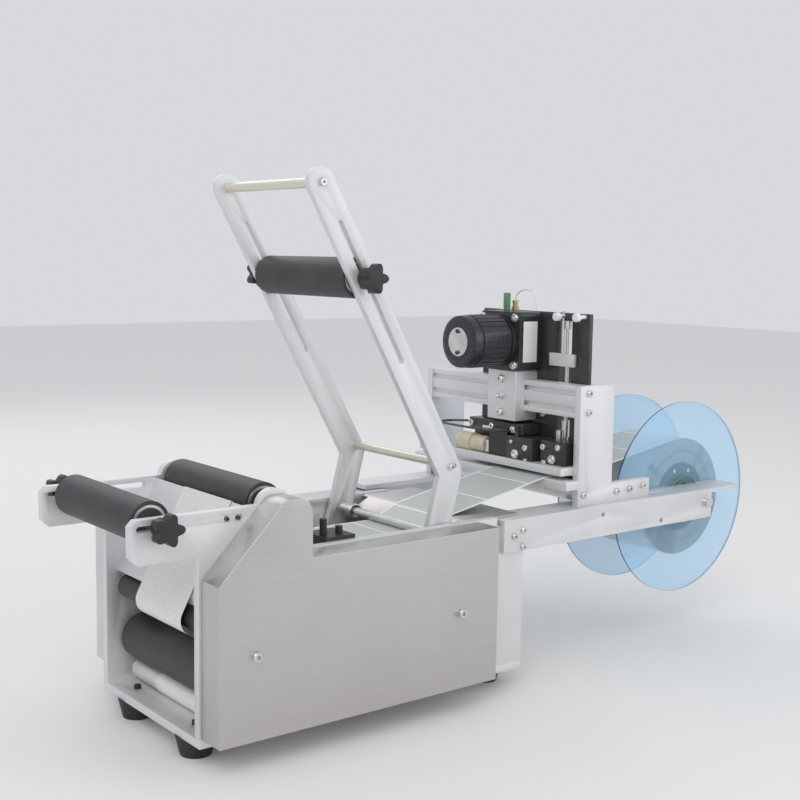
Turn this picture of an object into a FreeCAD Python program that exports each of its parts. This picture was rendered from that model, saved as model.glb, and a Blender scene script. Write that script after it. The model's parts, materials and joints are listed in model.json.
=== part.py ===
import FreeCAD, Part
import math
import os
import re
import Sketcher

# Semi-automatic bottle labelling machine with a ribbon date coder.
# Stations are in millimetres: x runs back from the front edge of the side
# plates, y from the machine's centre plane (minus is the operator's side)
# and z up from the underside of the base plate.  put() turns them into the
# frame, whose origin lies on the floor in the middle of the four feet.

DOC = FreeCAD.newDocument("labeller")
SHEET = DOC.addObject("Spreadsheet::Sheet", "Sizes")

SIZES = [
    # frame
    ("plate_long", 434.5), ("plate_half", 110), ("plate_thick", 10), ("base_thick", 9),
    ("plate_low", 178), ("plate_mid", 188), ("plate_high", 239), ("plate_step", 128),
    ("plate_drop", 392), ("horn_reach", 72.5), ("horn_low", 195), ("hump_rad", 19),
    ("foot_tall", 22), ("foot_top", 22), ("foot_base", 16.5), ("foot_x", 20), ("foot_y", 66), ("foot_screw", 3.3),
    ("slot_half", 3.2), ("slot_z", 229.8), ("slot_front", -63), ("slot_back", -27),
    ("tee_front", -14), ("tee_back", 46),
    # belt cover
    ("cover_deep", 36), ("cover_skin", 1.5), ("cover_front", 2), ("cover_back", 362.5),
    ("cover_slope_low", 172), ("cover_slope_x", 77), ("cover_top", 249), ("cover_mid", 187),
    ("cover_step", 109.6), ("cover_round", 17),
    # rollers
    ("roll_half", 88), ("roll_rad", 22), ("shaft_rad", 6), ("fit", 0.05), ("gap", 0.4),
    ("front_x", -41.5), ("rear_x", 86.6), ("rear_z", 235.4),
    ("nip_half", 90), ("drum_x", 38), ("drum_z", 61.3), ("drum_rad", 25.6),
    ("liner_thick", 0.3), ("liner_tail", 25), ("pinch_rad", 11.8), ("nip_gap", 0.9), ("pinch_x", 37),
    ("idler_x", 21.5), ("idler_z", 120.5), ("idler_rad", 13),
    # peel plate and deck
    ("peel_tip_x", 61), ("peel_tip_z", 236.5), ("peel_foot_x", 14.2), ("peel_foot_z", 144.5),
    ("peel_drop", 8.6), ("deck_thick", 2), ("deck_top", 187), ("deck_front", 354),
    ("lip_x", 322), ("lip_z", 171), ("flange_x", 424), ("flange_tall", 25), ("arm_gap", 3),
    # swing arm
    ("arm_thick", 8), ("arm_in", 90), ("arm_half", 16), ("pivot_x", 312), ("pivot_z", 176),
    ("lower_leg", 71.5), ("lower_lean", 14.6), ("upper_leg", 365.5), ("upper_lean", 29.5),
    ("tail_leg", 34), ("pivot_rad", 5), ("handle_rad", 5.5), ("brace_rad", 5), ("brace_up", 4),
    ("brace_side", 8), ("press_up", 253), ("arm_slot_low", 150), ("arm_slot_high", 318),
    # knobs
    ("knob_core", 11.5), ("knob_lobe", 5), ("knob_ring", 11.2), ("knob_thick", 14),
    ("hub_rad", 10), ("hub_long", 8), ("stud_rad", 3), ("stud_long", 14),
    # rails and gantry
    ("rail_front", 398), ("rail_back", 833), ("web_back", 776), ("rail_top", 184.5),
    ("rail_tall", 39), ("rail_wide", 44), ("rail_thick", 6), ("far_half", 194),
    ("post_front", 529), ("post_wide", 60), ("post_thick", 10), ("post_top", 334),
    ("foot_back", 660), ("foot_high", 24.5), ("post_near", 106), ("post_far", 190),
    ("beam_tall", 40), ("beam_deep", 20), ("groove_wide", 6), ("groove_deep", 4),
    ("tie_front", 508), ("tie_deep", 5), ("tie_back", 540), ("slide_room", 50), ("tie_low", 223), ("tie_thick", 10),
    ("platen_low", 206), ("platen_top", 217.4), ("platen_wide", 21),
    ("guide_x", 546), ("guide_z", 202.6), ("guide_rad", 15),
    # reel
    ("reel_x", 766), ("reel_z", 167), ("disc_rad", 131), ("disc_thick", 2.5),
    ("disc_hole", 12), ("label_wide", 100), ("label_near", -69), ("label_roll_rad", 80),
    ("hub_drum", 47), ("reel_shaft_rad", 9), ("web_thick", 0.5), ("tip_turn", 1),
    ("droop_x", 586), ("droop_z", 222.5), ("droop_rad", 300), ("sag_x", 160), ("sag_z", 171), ("sag_rad", 20), ("bulge", 3),
    # date coder
    ("clamp_front", 513), ("clamp_back", 551.6), ("clamp_near", -6), ("clamp_far", 46),
    ("clamp_low", 281), ("clamp_top", 345), ("coder_x", 552), ("coder_thick", 6),
    ("coder_near", -95), ("coder_far", 100), ("coder_low", 222), ("coder_top", 421),
    ("window_near", -65), ("window_far", -43), ("window_low", 240), ("window_top", 411),
    ("gear_y", 25.5), ("gear_z", 383), ("gear_size", 75), ("gear_long", 39),
    ("motor_rad", 33.5), ("motor_long", 70), ("spool_rad", 24), ("spool_wide", 36),
    ("spool_x", 602), ("supply_z", 345), ("takeup_z", 285), ("wound_rad", 16), ("ribbon_thick", 0.3),
    ("head_x", 530), ("head_half", 11), ("head_y", 25.5), ("head_tall", 38), ("head_lift", 6),
    ("head_wide", 34), ("cheek_near", -12), ("cheek_thick", 6), ("pin_rad", 2), ("peg_rad", 4),
    ("turn_x", 20), ("turn_z", 37), ("feed_x", 524), ("feed_z", 242), ("feed_rad", 13),
    # drive and housing
    ("box_front", 30), ("box_top", 176), ("unit_in", 126), ("unit_low", 60), ("unit_long", 160),
    ("unit_deep", 45), ("unit_tall", 80), ("drive_x", 109), ("drive_z", 100), ("drive_rad", 42),
    ("drive_long", 96), ("belt_out", 12), ("pulley_wide", 12),
    ("rear_pulley", 9), ("drive_pulley", 8), ("belt_thick", 2), ("belt_gap", 0.3),
]
for row, (alias, size) in enumerate(SIZES, start=1):
    SHEET.set("A%d" % row, alias)
    SHEET.set("B%d" % row, str(size))
    SHEET.setAlias("B%d" % row, alias)
DOC.recompute()
SIZE = dict(SIZES)

FUNCTIONS = {"sin", "cos", "tan", "atan", "atan2", "sqrt", "abs", "min", "max"}


def bind(text):
    """Turn a formula of size names into one that reads the sheet."""
    return re.sub(r"[A-Za-z_]\w*",
                  lambda m: m.group(0) if m.group(0) in FUNCTIONS else "Sizes." + m.group(0),
                  str(text))


def put(obj, x="0", y="0", z="0", turn=None, axis=(0, 1, 0)):
    """Place an object at a station; turn is an angle about axis."""
    if turn is not None:
        obj.Placement = FreeCAD.Placement(FreeCAD.Vector(), FreeCAD.Rotation(FreeCAD.Vector(*axis), 1))
        obj.setExpression("Placement.Rotation.Angle", bind(turn))
    obj.setExpression("Placement.Base.x", bind("%s - plate_long / 2" % x))
    obj.setExpression("Placement.Base.y", bind(y))
    obj.setExpression("Placement.Base.z", bind("%s + foot_tall" % z))
    return obj


PARTS = []


def node(obj, label):
    obj.Label = label
    PARTS.append(obj)
    return obj


def body(label):
    made = DOC.addObject("PartDesign::Body", label)
    return node(made, label)


def sketch_on(owner, role, dx="0", dy="0", lift="0", turn="0"):
    """A sketch on one of the body's own planes, shifted, lifted and turned."""
    made = owner.newObject("Sketcher::SketchObject", owner.Name + "_sketch")
    plane = [f for f in owner.Origin.OriginFeatures if f.Role == role][0]
    made.AttachmentSupport = (plane, [""])
    made.MapMode = "FlatFace"
    made.setExpression("AttachmentOffset.Base.x", bind(dx))
    made.setExpression("AttachmentOffset.Base.y", bind(dy))
    made.setExpression("AttachmentOffset.Base.z", bind(lift))
    made.setExpression("AttachmentOffset.Rotation.Angle", bind(turn))
    return made


def fix_point(sketch, geometry, point, x, y):
    """Hold one point of a sketch at (x, y) from its origin."""
    for kind, formula in (("DistanceX", x), ("DistanceY", y)):
        index = sketch.addConstraint(Sketcher.Constraint(kind, -1, 1, geometry, point, 1.0))
        sketch.setExpression("Constraints[%d]" % index, bind(formula))


def polygon(sketch, points):
    """A closed outline whose corners are formulas."""
    count = len(points)
    base = len(sketch.Geometry)
    for i in range(count):
        a = 2 * math.pi * i / count
        b = 2 * math.pi * (i + 1) / count
        start = FreeCAD.Vector(math.cos(a), math.sin(a), 0)
        end = FreeCAD.Vector(math.cos(b), math.sin(b), 0)
        sketch.addGeometry(Part.LineSegment(start, end))
    for i in range(count):
        sketch.addConstraint(Sketcher.Constraint("Coincident", base + i, 2, base + (i + 1) % count, 1))
    for i, (x, y) in enumerate(points):
        fix_point(sketch, base + i, 1, x, y)


def circle(sketch, x, y, radius):
    index = sketch.addGeometry(Part.Circle(FreeCAD.Vector(1, 1, 0), FreeCAD.Vector(0, 0, 1), 1))
    fix_point(sketch, index, 3, x, y)
    ring = sketch.addConstraint(Sketcher.Constraint("Radius", index, 1.0))
    sketch.setExpression("Constraints[%d]" % ring, bind(radius))


def capsule(sketch, long, radius):
    """A round-ended slot from the sketch's origin up its own Y axis."""
    start = SIZE.get(str(long), 10)
    top = Part.ArcOfCircle(Part.Circle(FreeCAD.Vector(0, start, 0), FreeCAD.Vector(0, 0, 1), 1), 0, math.pi)
    low = Part.ArcOfCircle(Part.Circle(FreeCAD.Vector(0, 0, 0), FreeCAD.Vector(0, 0, 1), 1),
                           math.pi, 2 * math.pi)
    sketch.addGeometry(top)
    sketch.addGeometry(low)
    sketch.addGeometry(Part.LineSegment(FreeCAD.Vector(-1, start, 0), FreeCAD.Vector(-1, 0, 0)))
    sketch.addGeometry(Part.LineSegment(FreeCAD.Vector(1, 0, 0), FreeCAD.Vector(1, start, 0)))
    for a, i, b, j in ((0, 2, 2, 1), (2, 2, 1, 1), (1, 2, 3, 1), (3, 2, 0, 1)):
        sketch.addConstraint(Sketcher.Constraint("Coincident", a, i, b, j))
    for arc in (0, 1):
        sketch.addConstraint(Sketcher.Constraint("Horizontal", arc, 1, arc, 3))
        sketch.addConstraint(Sketcher.Constraint("Horizontal", arc, 2, arc, 3))
    sketch.addConstraint(Sketcher.Constraint("Coincident", 1, 3, -1, 1))
    fix_point(sketch, 0, 3, "0", long)
    ring = sketch.addConstraint(Sketcher.Constraint("Radius", 1, 1.0))
    sketch.setExpression("Constraints[%d]" % ring, bind(radius))
    sketch.addConstraint(Sketcher.Constraint("Equal", 0, 1))


def pad(owner, sketch, long, both=False):
    made = owner.newObject("PartDesign::Pad", owner.Name + "_pad")
    made.Profile = sketch
    made.Midplane = both
    made.setExpression("Length", bind(long))
    owner.Tip = made
    return made


def cut_through(owner, sketch):
    """Cut a sketch right through its body, both ways."""
    made = owner.newObject("PartDesign::Pocket", owner.Name + "_pocket")
    made.Profile = sketch
    made.Midplane = True
    made.Type = 1
    owner.Tip = made
    return made


def primitive(owner, kind, x, y, z, **sizes):
    """An additive or subtractive box or cylinder inside a body."""
    made = owner.newObject("PartDesign::" + kind, owner.Name + "_" + kind.lower())
    for key, formula in (("x", x), ("y", y), ("z", z)):
        made.setExpression("Placement.Base." + key, bind(formula))
    for key, formula in sizes.items():
        made.setExpression(key, bind(formula))
    owner.Tip = made
    return made


def plate(label, role, points, thick, holes=(), slots=()):
    """A flat plate: outline, round holes (x, y, r) and slots (x, y, long, r, turn)."""
    made = body(label)
    outline = sketch_on(made, role)
    polygon(outline, points)
    pad(made, outline, thick)
    if holes:
        drilled = sketch_on(made, role)
        for x, y, radius in holes:
            circle(drilled, x, y, radius)
        cut_through(made, drilled)
    for x, y, long, radius, turn in slots:
        milled = sketch_on(made, role, x, y, "0", turn)
        capsule(milled, long, radius)
        cut_through(made, milled)
    return made


def turned(label, axis, rows, bore="0"):
    """A lathe part: rows are (along, radius) pairs of the outside."""
    made = body(label)
    first, last = rows[0][0], rows[-1][0]
    ring = [(first, bore)] + list(rows) + [(last, bore)]
    section = sketch_on(made, "XZ_Plane" if axis == "Z" else "XY_Plane")
    polygon(section, ring if axis == "X" else [(radius, along) for along, radius in ring])
    spin = made.newObject("PartDesign::Revolution", made.Name + "_spin")
    spin.Profile = section
    spin.ReferenceAxis = (section, ["H_Axis" if axis == "X" else "V_Axis"])
    spin.Angle = 360
    made.Tip = spin
    return made


def steps(*rows):
    """(from, to, radius) steps as the outside of a lathe part."""
    outside = []
    for start, end, radius in rows:
        outside += [(start, radius), (end, radius)]
    return outside


def group(label, makers):
    """Several loose solids as one node."""
    made = DOC.addObject("Part::Compound", label)
    made.Links = makers
    return node(made, label)


def rod(x, y, z, radius, long, along="Y"):
    """A plain round bar that starts at the station."""
    made = DOC.addObject("Part::Cylinder", "rod")
    way = {"X": FreeCAD.Vector(1, 0, 0), "Y": FreeCAD.Vector(0, 1, 0), "Z": FreeCAD.Vector(0, 0, 1)}[along]
    made.Placement.Rotation = FreeCAD.Rotation(FreeCAD.Vector(0, 0, 1), way)
    made.setExpression("Radius", bind(radius))
    made.setExpression("Height", bind(long))
    return put(made, x, y, z)


def block(x, y, z, long, wide, tall):
    made = DOC.addObject("Part::Box", "block")
    made.setExpression("Length", bind(long))
    made.setExpression("Width", bind(wide))
    made.setExpression("Height", bind(tall))
    return put(made, x, y, z)


def boolean(kind, base, tool, label=None):
    made = DOC.addObject("Part::" + kind, "made")
    made.Base = base
    made.Tool = tool
    return node(made, label) if label else made


def lap(wheels, offset, closed=False):
    """Lines and arcs of a strip over wheels (x, z, radius), each left of travel if positive."""
    legs = []
    count = len(wheels)
    for i in range(count if closed else count - 1):
        (ax, az, ar), (bx, bz, br) = wheels[i], wheels[(i + 1) % count]
        ar -= offset
        br -= offset
        apart = math.hypot(bx - ax, bz - az)
        way = math.atan2(bz - az, bx - ax) - math.asin((br - ar) / apart)
        left = FreeCAD.Vector(-math.sin(way), math.cos(way), 0)
        legs.append((way, FreeCAD.Vector(ax, az, 0) - left * ar, FreeCAD.Vector(bx, bz, 0) - left * br))
    pieces = []
    for i, (way, start, end) in enumerate(legs):
        pieces.append(Part.LineSegment(start, end))
        if i + 1 == len(legs) and not closed:
            continue
        after = legs[(i + 1) % len(legs)][0]
        x, z, radius = wheels[(i + 1) % count]
        radius -= offset
        turn = (after - way) % (2 * math.pi) if radius > 0 else -((way - after) % (2 * math.pi))
        centre = FreeCAD.Vector(x, z, 0)
        ring = Part.Circle(centre, FreeCAD.Vector(0, 0, 1), abs(radius))
        first, last = (end, legs[(i + 1) % len(legs)][1])
        if turn < 0:
            first, last = last, first
        pieces.append(Part.ArcOfCircle(ring, ring.parameter(first), ring.parameter(last)))
    return pieces


def strip(label, wheels, thick, near, wide, closed=False, skip=0):
    """A thin strip or belt led round wheels and rods."""
    made = body(label)
    outline = sketch_on(made, "XZ_Plane")
    sides = [lap(wheels, thick / 2, closed)[skip:], lap(wheels, -thick / 2, closed)[skip:]]
    for side in sides:
        for piece in side:
            outline.addGeometry(piece)
    if not closed:
        outline.addGeometry(Part.LineSegment(sides[0][0].StartPoint, sides[1][0].StartPoint))
        outline.addGeometry(Part.LineSegment(sides[0][-1].EndPoint, sides[1][-1].EndPoint))
    pad(made, outline, wide)
    return put(made, "0", "%s + %s" % (near, wide))


# --- frame ---------------------------------------------------------------
INSIDE = "(plate_half - plate_thick)"
HUMP_LEFT = "(rear_x - hump_rad)"

base_plate = plate("base_plate", "XY_Plane",
                   [("0", "-plate_half"), ("plate_long", "-plate_half"),
                    ("plate_long", "plate_half"), ("0", "plate_half")], "base_thick",
                   holes=[(x, y, "4") for x in ("foot_x", "plate_long - foot_x")
                          for y in ("-foot_y", "foot_y")])
put(base_plate)

SIDE_OUTLINE = [("0", "base_thick"), ("0", "horn_low"), ("-horn_reach + 8", "horn_low"),
                ("-horn_reach", "horn_low + 8"), ("-horn_reach", "plate_high - 6"),
                ("-horn_reach + 6", "plate_high"), ("plate_step", "plate_high"),
                ("plate_step", "plate_mid"), ("plate_drop", "plate_mid"),
                ("plate_drop", "plate_low"), ("plate_long", "plate_low"),
                ("plate_long", "base_thick")]
BORE = "(shaft_rad + fit)"
PINCH_Z = "(drum_z - drum_rad - pinch_rad - nip_gap)"
SIDE_HOLES = [("rear_x", "rear_z", BORE), ("drum_x", "drum_z", BORE), ("pinch_x", PINCH_Z, "4 + fit"),
              ("idler_x", "idler_z", "4 + fit"), ("pivot_x", "pivot_z", "pivot_rad")]
SIDE_SLOTS = [("slot_front", "slot_z", "slot_back - slot_front", "slot_half", "-90"),
              ("tee_front", "slot_z", "tee_back - tee_front", "slot_half", "-90")]
for side, y in (("near", "-" + INSIDE), ("far", "plate_half")):
    holes = list(SIDE_HOLES)
    if side == "near":
        holes.append(("drive_x", "drive_z", "24"))
    made = body("side_plate_" + side)
    outline = sketch_on(made, "XZ_Plane")
    polygon(outline, SIDE_OUTLINE)
    pad(made, outline, "plate_thick")
    hump = sketch_on(made, "XZ_Plane")
    circle(hump, "rear_x", "rear_z", "hump_rad")
    pad(made, hump, "plate_thick")
    drilled = sketch_on(made, "XZ_Plane")
    for hole_x, hole_z, radius in holes:
        circle(drilled, hole_x, hole_z, radius)
    cut_through(made, drilled)
    for slot_x, slot_y, long, radius, turn in SIDE_SLOTS:
        milled = sketch_on(made, "XZ_Plane", slot_x, slot_y, "0", turn)
        capsule(milled, long, radius)
        cut_through(made, milled)
    put(made, "0", y)


# The peel plate stands between the side plates, its lip close to the rear roller.
PEEL_BACK_Z = "(peel_foot_z - peel_drop + (peel_tip_x + 1 - peel_foot_x)" \
              " * (peel_tip_z - peel_foot_z) / (peel_tip_x - peel_foot_x))"
peel_plate = plate("peel_plate", "XZ_Plane",
                   [("peel_foot_x", "peel_foot_z"), ("peel_tip_x", "peel_tip_z"),
                    ("peel_tip_x + 1", "peel_tip_z - 1"), ("peel_tip_x + 1", PEEL_BACK_Z),
                    ("peel_foot_x", "peel_foot_z - peel_drop")], "2 * " + INSIDE)
put(peel_plate, "0", INSIDE)

# The deck is a folded sheet: lip, top and a flange screwed to the rear plate.
DECK_LOW = "(deck_top - deck_thick)"
deck_sheet = plate("deck_sheet", "XZ_Plane",
                   [("deck_front", "deck_top"), ("plate_long", "deck_top"), ("plate_long", DECK_LOW),
                    ("flange_x", DECK_LOW), ("flange_x", "deck_top - flange_tall"),
                    ("flange_x - deck_thick", "deck_top - flange_tall"),
                    ("flange_x - deck_thick", DECK_LOW), ("deck_front + deck_thick / 4", DECK_LOW),
                    ("lip_x", "lip_z - deck_thick"), ("lip_x", "lip_z")], "2 * " + INSIDE)
relief = sketch_on(deck_sheet, "XY_Plane")
ARM_ROOM = "(arm_in - arm_gap)"
for low, high in (("-plate_half - " + INSIDE, "-" + INSIDE + " - " + ARM_ROOM),
                  (ARM_ROOM + " - " + INSIDE, "plate_half - " + INSIDE)):
    polygon(relief, [("lip_x - 1", low), ("deck_front - arm_gap", low), ("deck_front - arm_gap", high),
                     ("lip_x - 1", high)])
cut_through(deck_sheet, relief)
under_rail = sketch_on(deck_sheet, "XY_Plane")
polygon(under_rail, [("rail_front - 1", "-plate_half - " + INSIDE), ("plate_long + 1", "-plate_half - " + INSIDE),
                     ("plate_long + 1", "rail_wide - rail_thick + 2 - 2 * plate_half + plate_thick"),
                     ("rail_front - 1", "rail_wide - rail_thick + 2 - 2 * plate_half + plate_thick")])
below = deck_sheet.newObject("PartDesign::Pocket", "flange_relief")
below.Profile = under_rail
under_rail.setExpression("AttachmentOffset.Base.z", bind("deck_top - deck_thick - gap / 4"))
below.Type = 1
deck_sheet.Tip = below
put(deck_sheet, "0", INSIDE)

rear_plate = plate("rear_plate", "YZ_Plane",
                   [("-" + INSIDE, "base_thick"), (INSIDE, "base_thick"), (INSIDE, "plate_low"),
                    ("-" + INSIDE, "plate_low")], "plate_thick")
put(rear_plate, "plate_long - plate_thick")

feet = []
for x in ("foot_x", "plate_long - foot_x"):
    for y in ("-foot_y", "foot_y"):
        cone = DOC.addObject("Part::Cone", "foot")
        cone.setExpression("Radius1", bind("foot_base"))
        cone.setExpression("Radius2", bind("foot_top"))
        cone.setExpression("Height", bind("foot_tall"))
        put(cone, x, y, "-foot_tall")
        bolt = rod(x, y, "0", "4 - fit", "base_thick + 4", "Z")
        recess = rod(x, y, "-foot_tall - 1", "foot_screw", "foot_tall / 2 + 1", "Z")
        feet.append(boolean("Cut", boolean("Fuse", cone, bolt), recess))
group("rubber_feet", feet)


def open_skin(owner, feature, open_y, wall):
    """Hollow a body out from the face at open_y."""
    DOC.recompute()
    names = ["Face%d" % (i + 1) for i, face in enumerate(feature.Shape.Faces)
             if abs(face.BoundBox.YMin - open_y) < 0.01 and face.BoundBox.YLength < 0.01]
    skin = owner.newObject("PartDesign::Thickness", owner.Name + "_skin")
    skin.Base = (feature, names)
    skin.setExpression("Value", bind(wall))
    skin.Reversed = True
    skin.Join = 1
    owner.Tip = skin


control_box = body("control_box")
shell = primitive(control_box, "AdditiveBox", "0", "0", "0", Length="plate_long - box_front",
                  Width="far_half - plate_half", Height="box_top - base_thick")
open_skin(control_box, shell, 0, "cover_skin")
put(control_box, "box_front", "plate_half", "base_thick")
control_unit = block("box_front + unit_in", "plate_half", "unit_low", "unit_long", "unit_deep", "unit_tall")
node(control_unit, "control_unit")

# --- belt cover: a folded sheet box, open towards the side plate ----------
belt_cover = body("belt_cover")
outline = sketch_on(belt_cover, "XZ_Plane")
SLOPE_RUN = "(cover_slope_x - cover_front)"
polygon(outline, [("cover_front", "base_thick + 1"), ("cover_front", "cover_slope_low"),
                  ("cover_slope_x", "cover_top"), ("cover_step", "cover_top"),
                  ("cover_step", "cover_mid"), ("cover_back", "cover_mid"),
                  ("cover_back", "base_thick + 1")])
block_out = pad(belt_cover, outline, "cover_deep")
DOC.recompute()


def edges_at(shape, x, z):
    """The edges along Y that pass a point of the section."""
    names = []
    for index, edge in enumerate(shape.Edges, start=1):
        box = edge.BoundBox
        if box.YLength > 1 and abs(box.XMin - x) < 0.01 and abs(box.ZMin - z) < 0.01:
            names.append("Edge%d" % index)
    return names


corner = belt_cover.newObject("PartDesign::Fillet", "cover_corner")
corner.Base = (block_out, edges_at(block_out.Shape, SIZE["cover_step"], SIZE["cover_top"])
               + edges_at(block_out.Shape, SIZE["cover_slope_x"], SIZE["cover_top"]))
corner.setExpression("Radius", bind("cover_round"))
belt_cover.Tip = corner
open_skin(belt_cover, corner, 0, "cover_skin")
put(belt_cover, "0", "-plate_half")

# --- rails ---------------------------------------------------------------
RAIL_LOW = "(rail_top - rail_tall)"
FLANGE_LOW = "(rail_top - rail_thick)"
REEL_BORE = "(reel_shaft_rad + fit)"
for side, outer, way in (("near", "(plate_half + rail_thick)", "-"), ("far", "(far_half + rail_thick)", "")):
    made = body("rail_" + side)
    section = sketch_on(made, "YZ_Plane")
    web = "%s(%s - rail_thick)" % (way, outer)
    face = way + outer
    edge = "%s(%s - rail_wide)" % (way, outer)
    polygon(section, [(face, RAIL_LOW), (face, "rail_top"), (edge, "rail_top"), (edge, FLANGE_LOW),
                      (web, FLANGE_LOW), (web, RAIL_LOW)])
    pad(made, section, "rail_back - rail_front")
    trim = sketch_on(made, "XZ_Plane")
    polygon(trim, [("web_back - rail_front", RAIL_LOW + " - 1"), ("web_back - rail_front", FLANGE_LOW),
                   ("rail_back - rail_front + 1", FLANGE_LOW),
                   ("rail_back - rail_front + 1", RAIL_LOW + " - 1")])
    cut_through(made, trim)
    drilled = sketch_on(made, "XZ_Plane")
    circle(drilled, "reel_x - rail_front", "reel_z", REEL_BORE)
    for x, z in (("167", "rail_top - 12"), ("277", "rail_top - 32")):
        circle(drilled, x, z, "3")
    cut_through(made, drilled)
    milled = sketch_on(made, "XY_Plane", "post_front - rail_front + 92",
                       "%s(%s - rail_wide / 2)" % (way, outer), "0", "-90")
    capsule(milled, "80", "3.3")
    cut_through(made, milled)
    put(made, "rail_front")

# --- gantry --------------------------------------------------------------
SEAT = "rail_top"
for side, y in (("near", "-post_near + post_thick"), ("far", "post_far")):
    made = plate("gantry_side_" + side, "XZ_Plane",
                 [("post_front", SEAT), ("post_front", "post_top"),
                  ("post_front + post_wide", "post_top"),
                  ("post_front + post_wide", "rail_top + foot_high"),
                  ("foot_back", "rail_top + foot_high"), ("foot_back", SEAT)], "post_thick",
                 holes=[("guide_x", "guide_z", "4 + fit")])
    put(made, "0", y)

SPAN_NEAR = "(-post_near + post_thick)"
SPAN_FAR = "(post_far - post_thick)"
SPAN = "(post_far + post_near - 2 * post_thick)"
BEAM_X = "(post_front + 1)"
cross_beam = body("cross_beam")
section = sketch_on(cross_beam, "XZ_Plane")
polygon(section, [("0", "0"), ("0", "beam_tall"), ("beam_deep", "beam_tall"), ("beam_deep", "0")])
pad(cross_beam, section, SPAN)
for centre in ("beam_tall / 4", "beam_tall * 3 / 4"):
    for inner, outer in (("0", "groove_deep"), ("beam_deep - groove_deep", "beam_deep")):
        groove = sketch_on(cross_beam, "XZ_Plane")
        polygon(groove, [(inner, centre + " - groove_wide / 2"), (inner, centre + " + groove_wide / 2"),
                         (outer, centre + " + groove_wide / 2"), (outer, centre + " - groove_wide / 2")])
        cut_through(cross_beam, groove)
put(cross_beam, BEAM_X, SPAN_FAR, "post_top - beam_tall")

WELL_NEAR = "(cheek_near - 4)"
WELL_FAR = "(head_y + head_wide / 2 + 66 + slide_room + 4)"
tie_bar = plate("tie_bar", "XY_Plane",
                [("tie_front", SPAN_NEAR), ("tie_back", SPAN_NEAR), ("tie_back", WELL_NEAR),
                 ("tie_front + tie_deep", WELL_NEAR), ("tie_front + tie_deep", WELL_FAR),
                 ("tie_back", WELL_FAR), ("tie_back", SPAN_FAR), ("tie_front", SPAN_FAR)], "tie_thick")
put(tie_bar, "0", "0", "tie_low")
platen_bar = plate("platen_bar", "XY_Plane",
                   [("tie_front", "-post_near"), ("tie_front + platen_wide", "-post_near"),
                    ("tie_front + platen_wide", "post_far"), ("tie_front", "post_far")],
                   "platen_top - platen_low")
put(platen_bar, "0", "0", "platen_low")

guide_roller = turned("guide_roller", "Y",
                      steps(("-post_thick", "1", "4"), ("1", "%s - 1" % SPAN, "guide_rad"),
                            ("%s - 1" % SPAN, "%s + post_thick" % SPAN, "4")))
put(guide_roller, "guide_x", SPAN_NEAR, "guide_z")

# --- rollers -------------------------------------------------------------
front_roller = turned("front_roller", "Y", [("-roll_half", "roll_rad"), ("roll_half", "roll_rad")],
                      "shaft_rad + fit")
put(front_roller, "front_x", "0", "slot_z")
STUD_END = "(plate_half + stud_long)"
front_shaft = turned("front_shaft", "Y",
                     steps(("-" + STUD_END, "fit - " + INSIDE, "stud_rad"),
                           ("fit - " + INSIDE, INSIDE + " - fit", "shaft_rad"),
                           (INSIDE + " - fit", STUD_END, "stud_rad")))
put(front_shaft, "front_x", "0", "slot_z")

DRUM_PULLEY = "(rear_pulley * drum_rad / roll_rad)"
PULLEY_IN = "-(plate_half + belt_out - pulley_wide / 2)"
PULLEY_OUT = "-(plate_half + belt_out + pulley_wide / 2)"
rear_roller = turned("rear_roller", "Y",
                     steps((PULLEY_OUT, PULLEY_IN, "rear_pulley"), (PULLEY_IN, "-roll_half", "shaft_rad"),
                           ("-roll_half", "roll_half", "roll_rad"), ("roll_half", "plate_half", "shaft_rad")))
put(rear_roller, "rear_x", "0", "rear_z")
traction_roller = turned("traction_roller", "Y",
                         steps((PULLEY_OUT, PULLEY_IN, DRUM_PULLEY), (PULLEY_IN, "-nip_half", "shaft_rad"),
                               ("-nip_half", "nip_half", "drum_rad"), ("nip_half", "plate_half", "shaft_rad")))
put(traction_roller, "drum_x", "0", "drum_z")
for label, x, z, radius in (("pinch_roller", "pinch_x", PINCH_Z, "pinch_rad"),
                            ("idler_roller", "idler_x", "idler_z", "idler_rad")):
    made = turned(label, "Y", steps(("-plate_half", "-nip_half", "4"), ("-nip_half", "nip_half", radius),
                                    ("nip_half", "plate_half", "4")))
    put(made, x, "0", z)

# --- swing arm -----------------------------------------------------------
KNEE_X = "(pivot_x + lower_leg * sin(lower_lean))"
KNEE_Z = "(pivot_z + lower_leg * cos(lower_lean))"
BEND = "(upper_lean + lower_lean)"
for side, y in (("near", "-arm_in"), ("far", "arm_in + arm_thick")):
    made = body("arm_" + side)
    upper = sketch_on(made, "XZ_Plane")
    capsule(upper, "upper_leg", "arm_half")
    pad(made, upper, "arm_thick")
    lower = sketch_on(made, "XZ_Plane", "0", "0", "0", "180 - " + BEND)
    capsule(lower, "lower_leg + tail_leg", "arm_half")
    pad(made, lower, "arm_thick")
    slot = sketch_on(made, "XZ_Plane", "0", "arm_slot_low")
    capsule(slot, "arm_slot_high - arm_slot_low", "slot_half")
    cut_through(made, slot)
    drilled = sketch_on(made, "XZ_Plane")
    circle(drilled, "0", "upper_leg", "3")
    circle(drilled, "brace_side", "brace_up", "3")
    circle(drilled, "-lower_leg * sin(%s)" % BEND, "-lower_leg * cos(%s)" % BEND, "pivot_rad + fit")
    cut_through(made, drilled)
    put(made, KNEE_X, y, KNEE_Z, "-upper_lean")


def on_arm(up, across="0"):
    """The station of a point on the upper legs."""
    return ("(%s - (%s) * sin(upper_lean) + (%s) * cos(upper_lean))" % (KNEE_X, up, across),
            "(%s + (%s) * cos(upper_lean) + (%s) * sin(upper_lean))" % (KNEE_Z, up, across))


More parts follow.
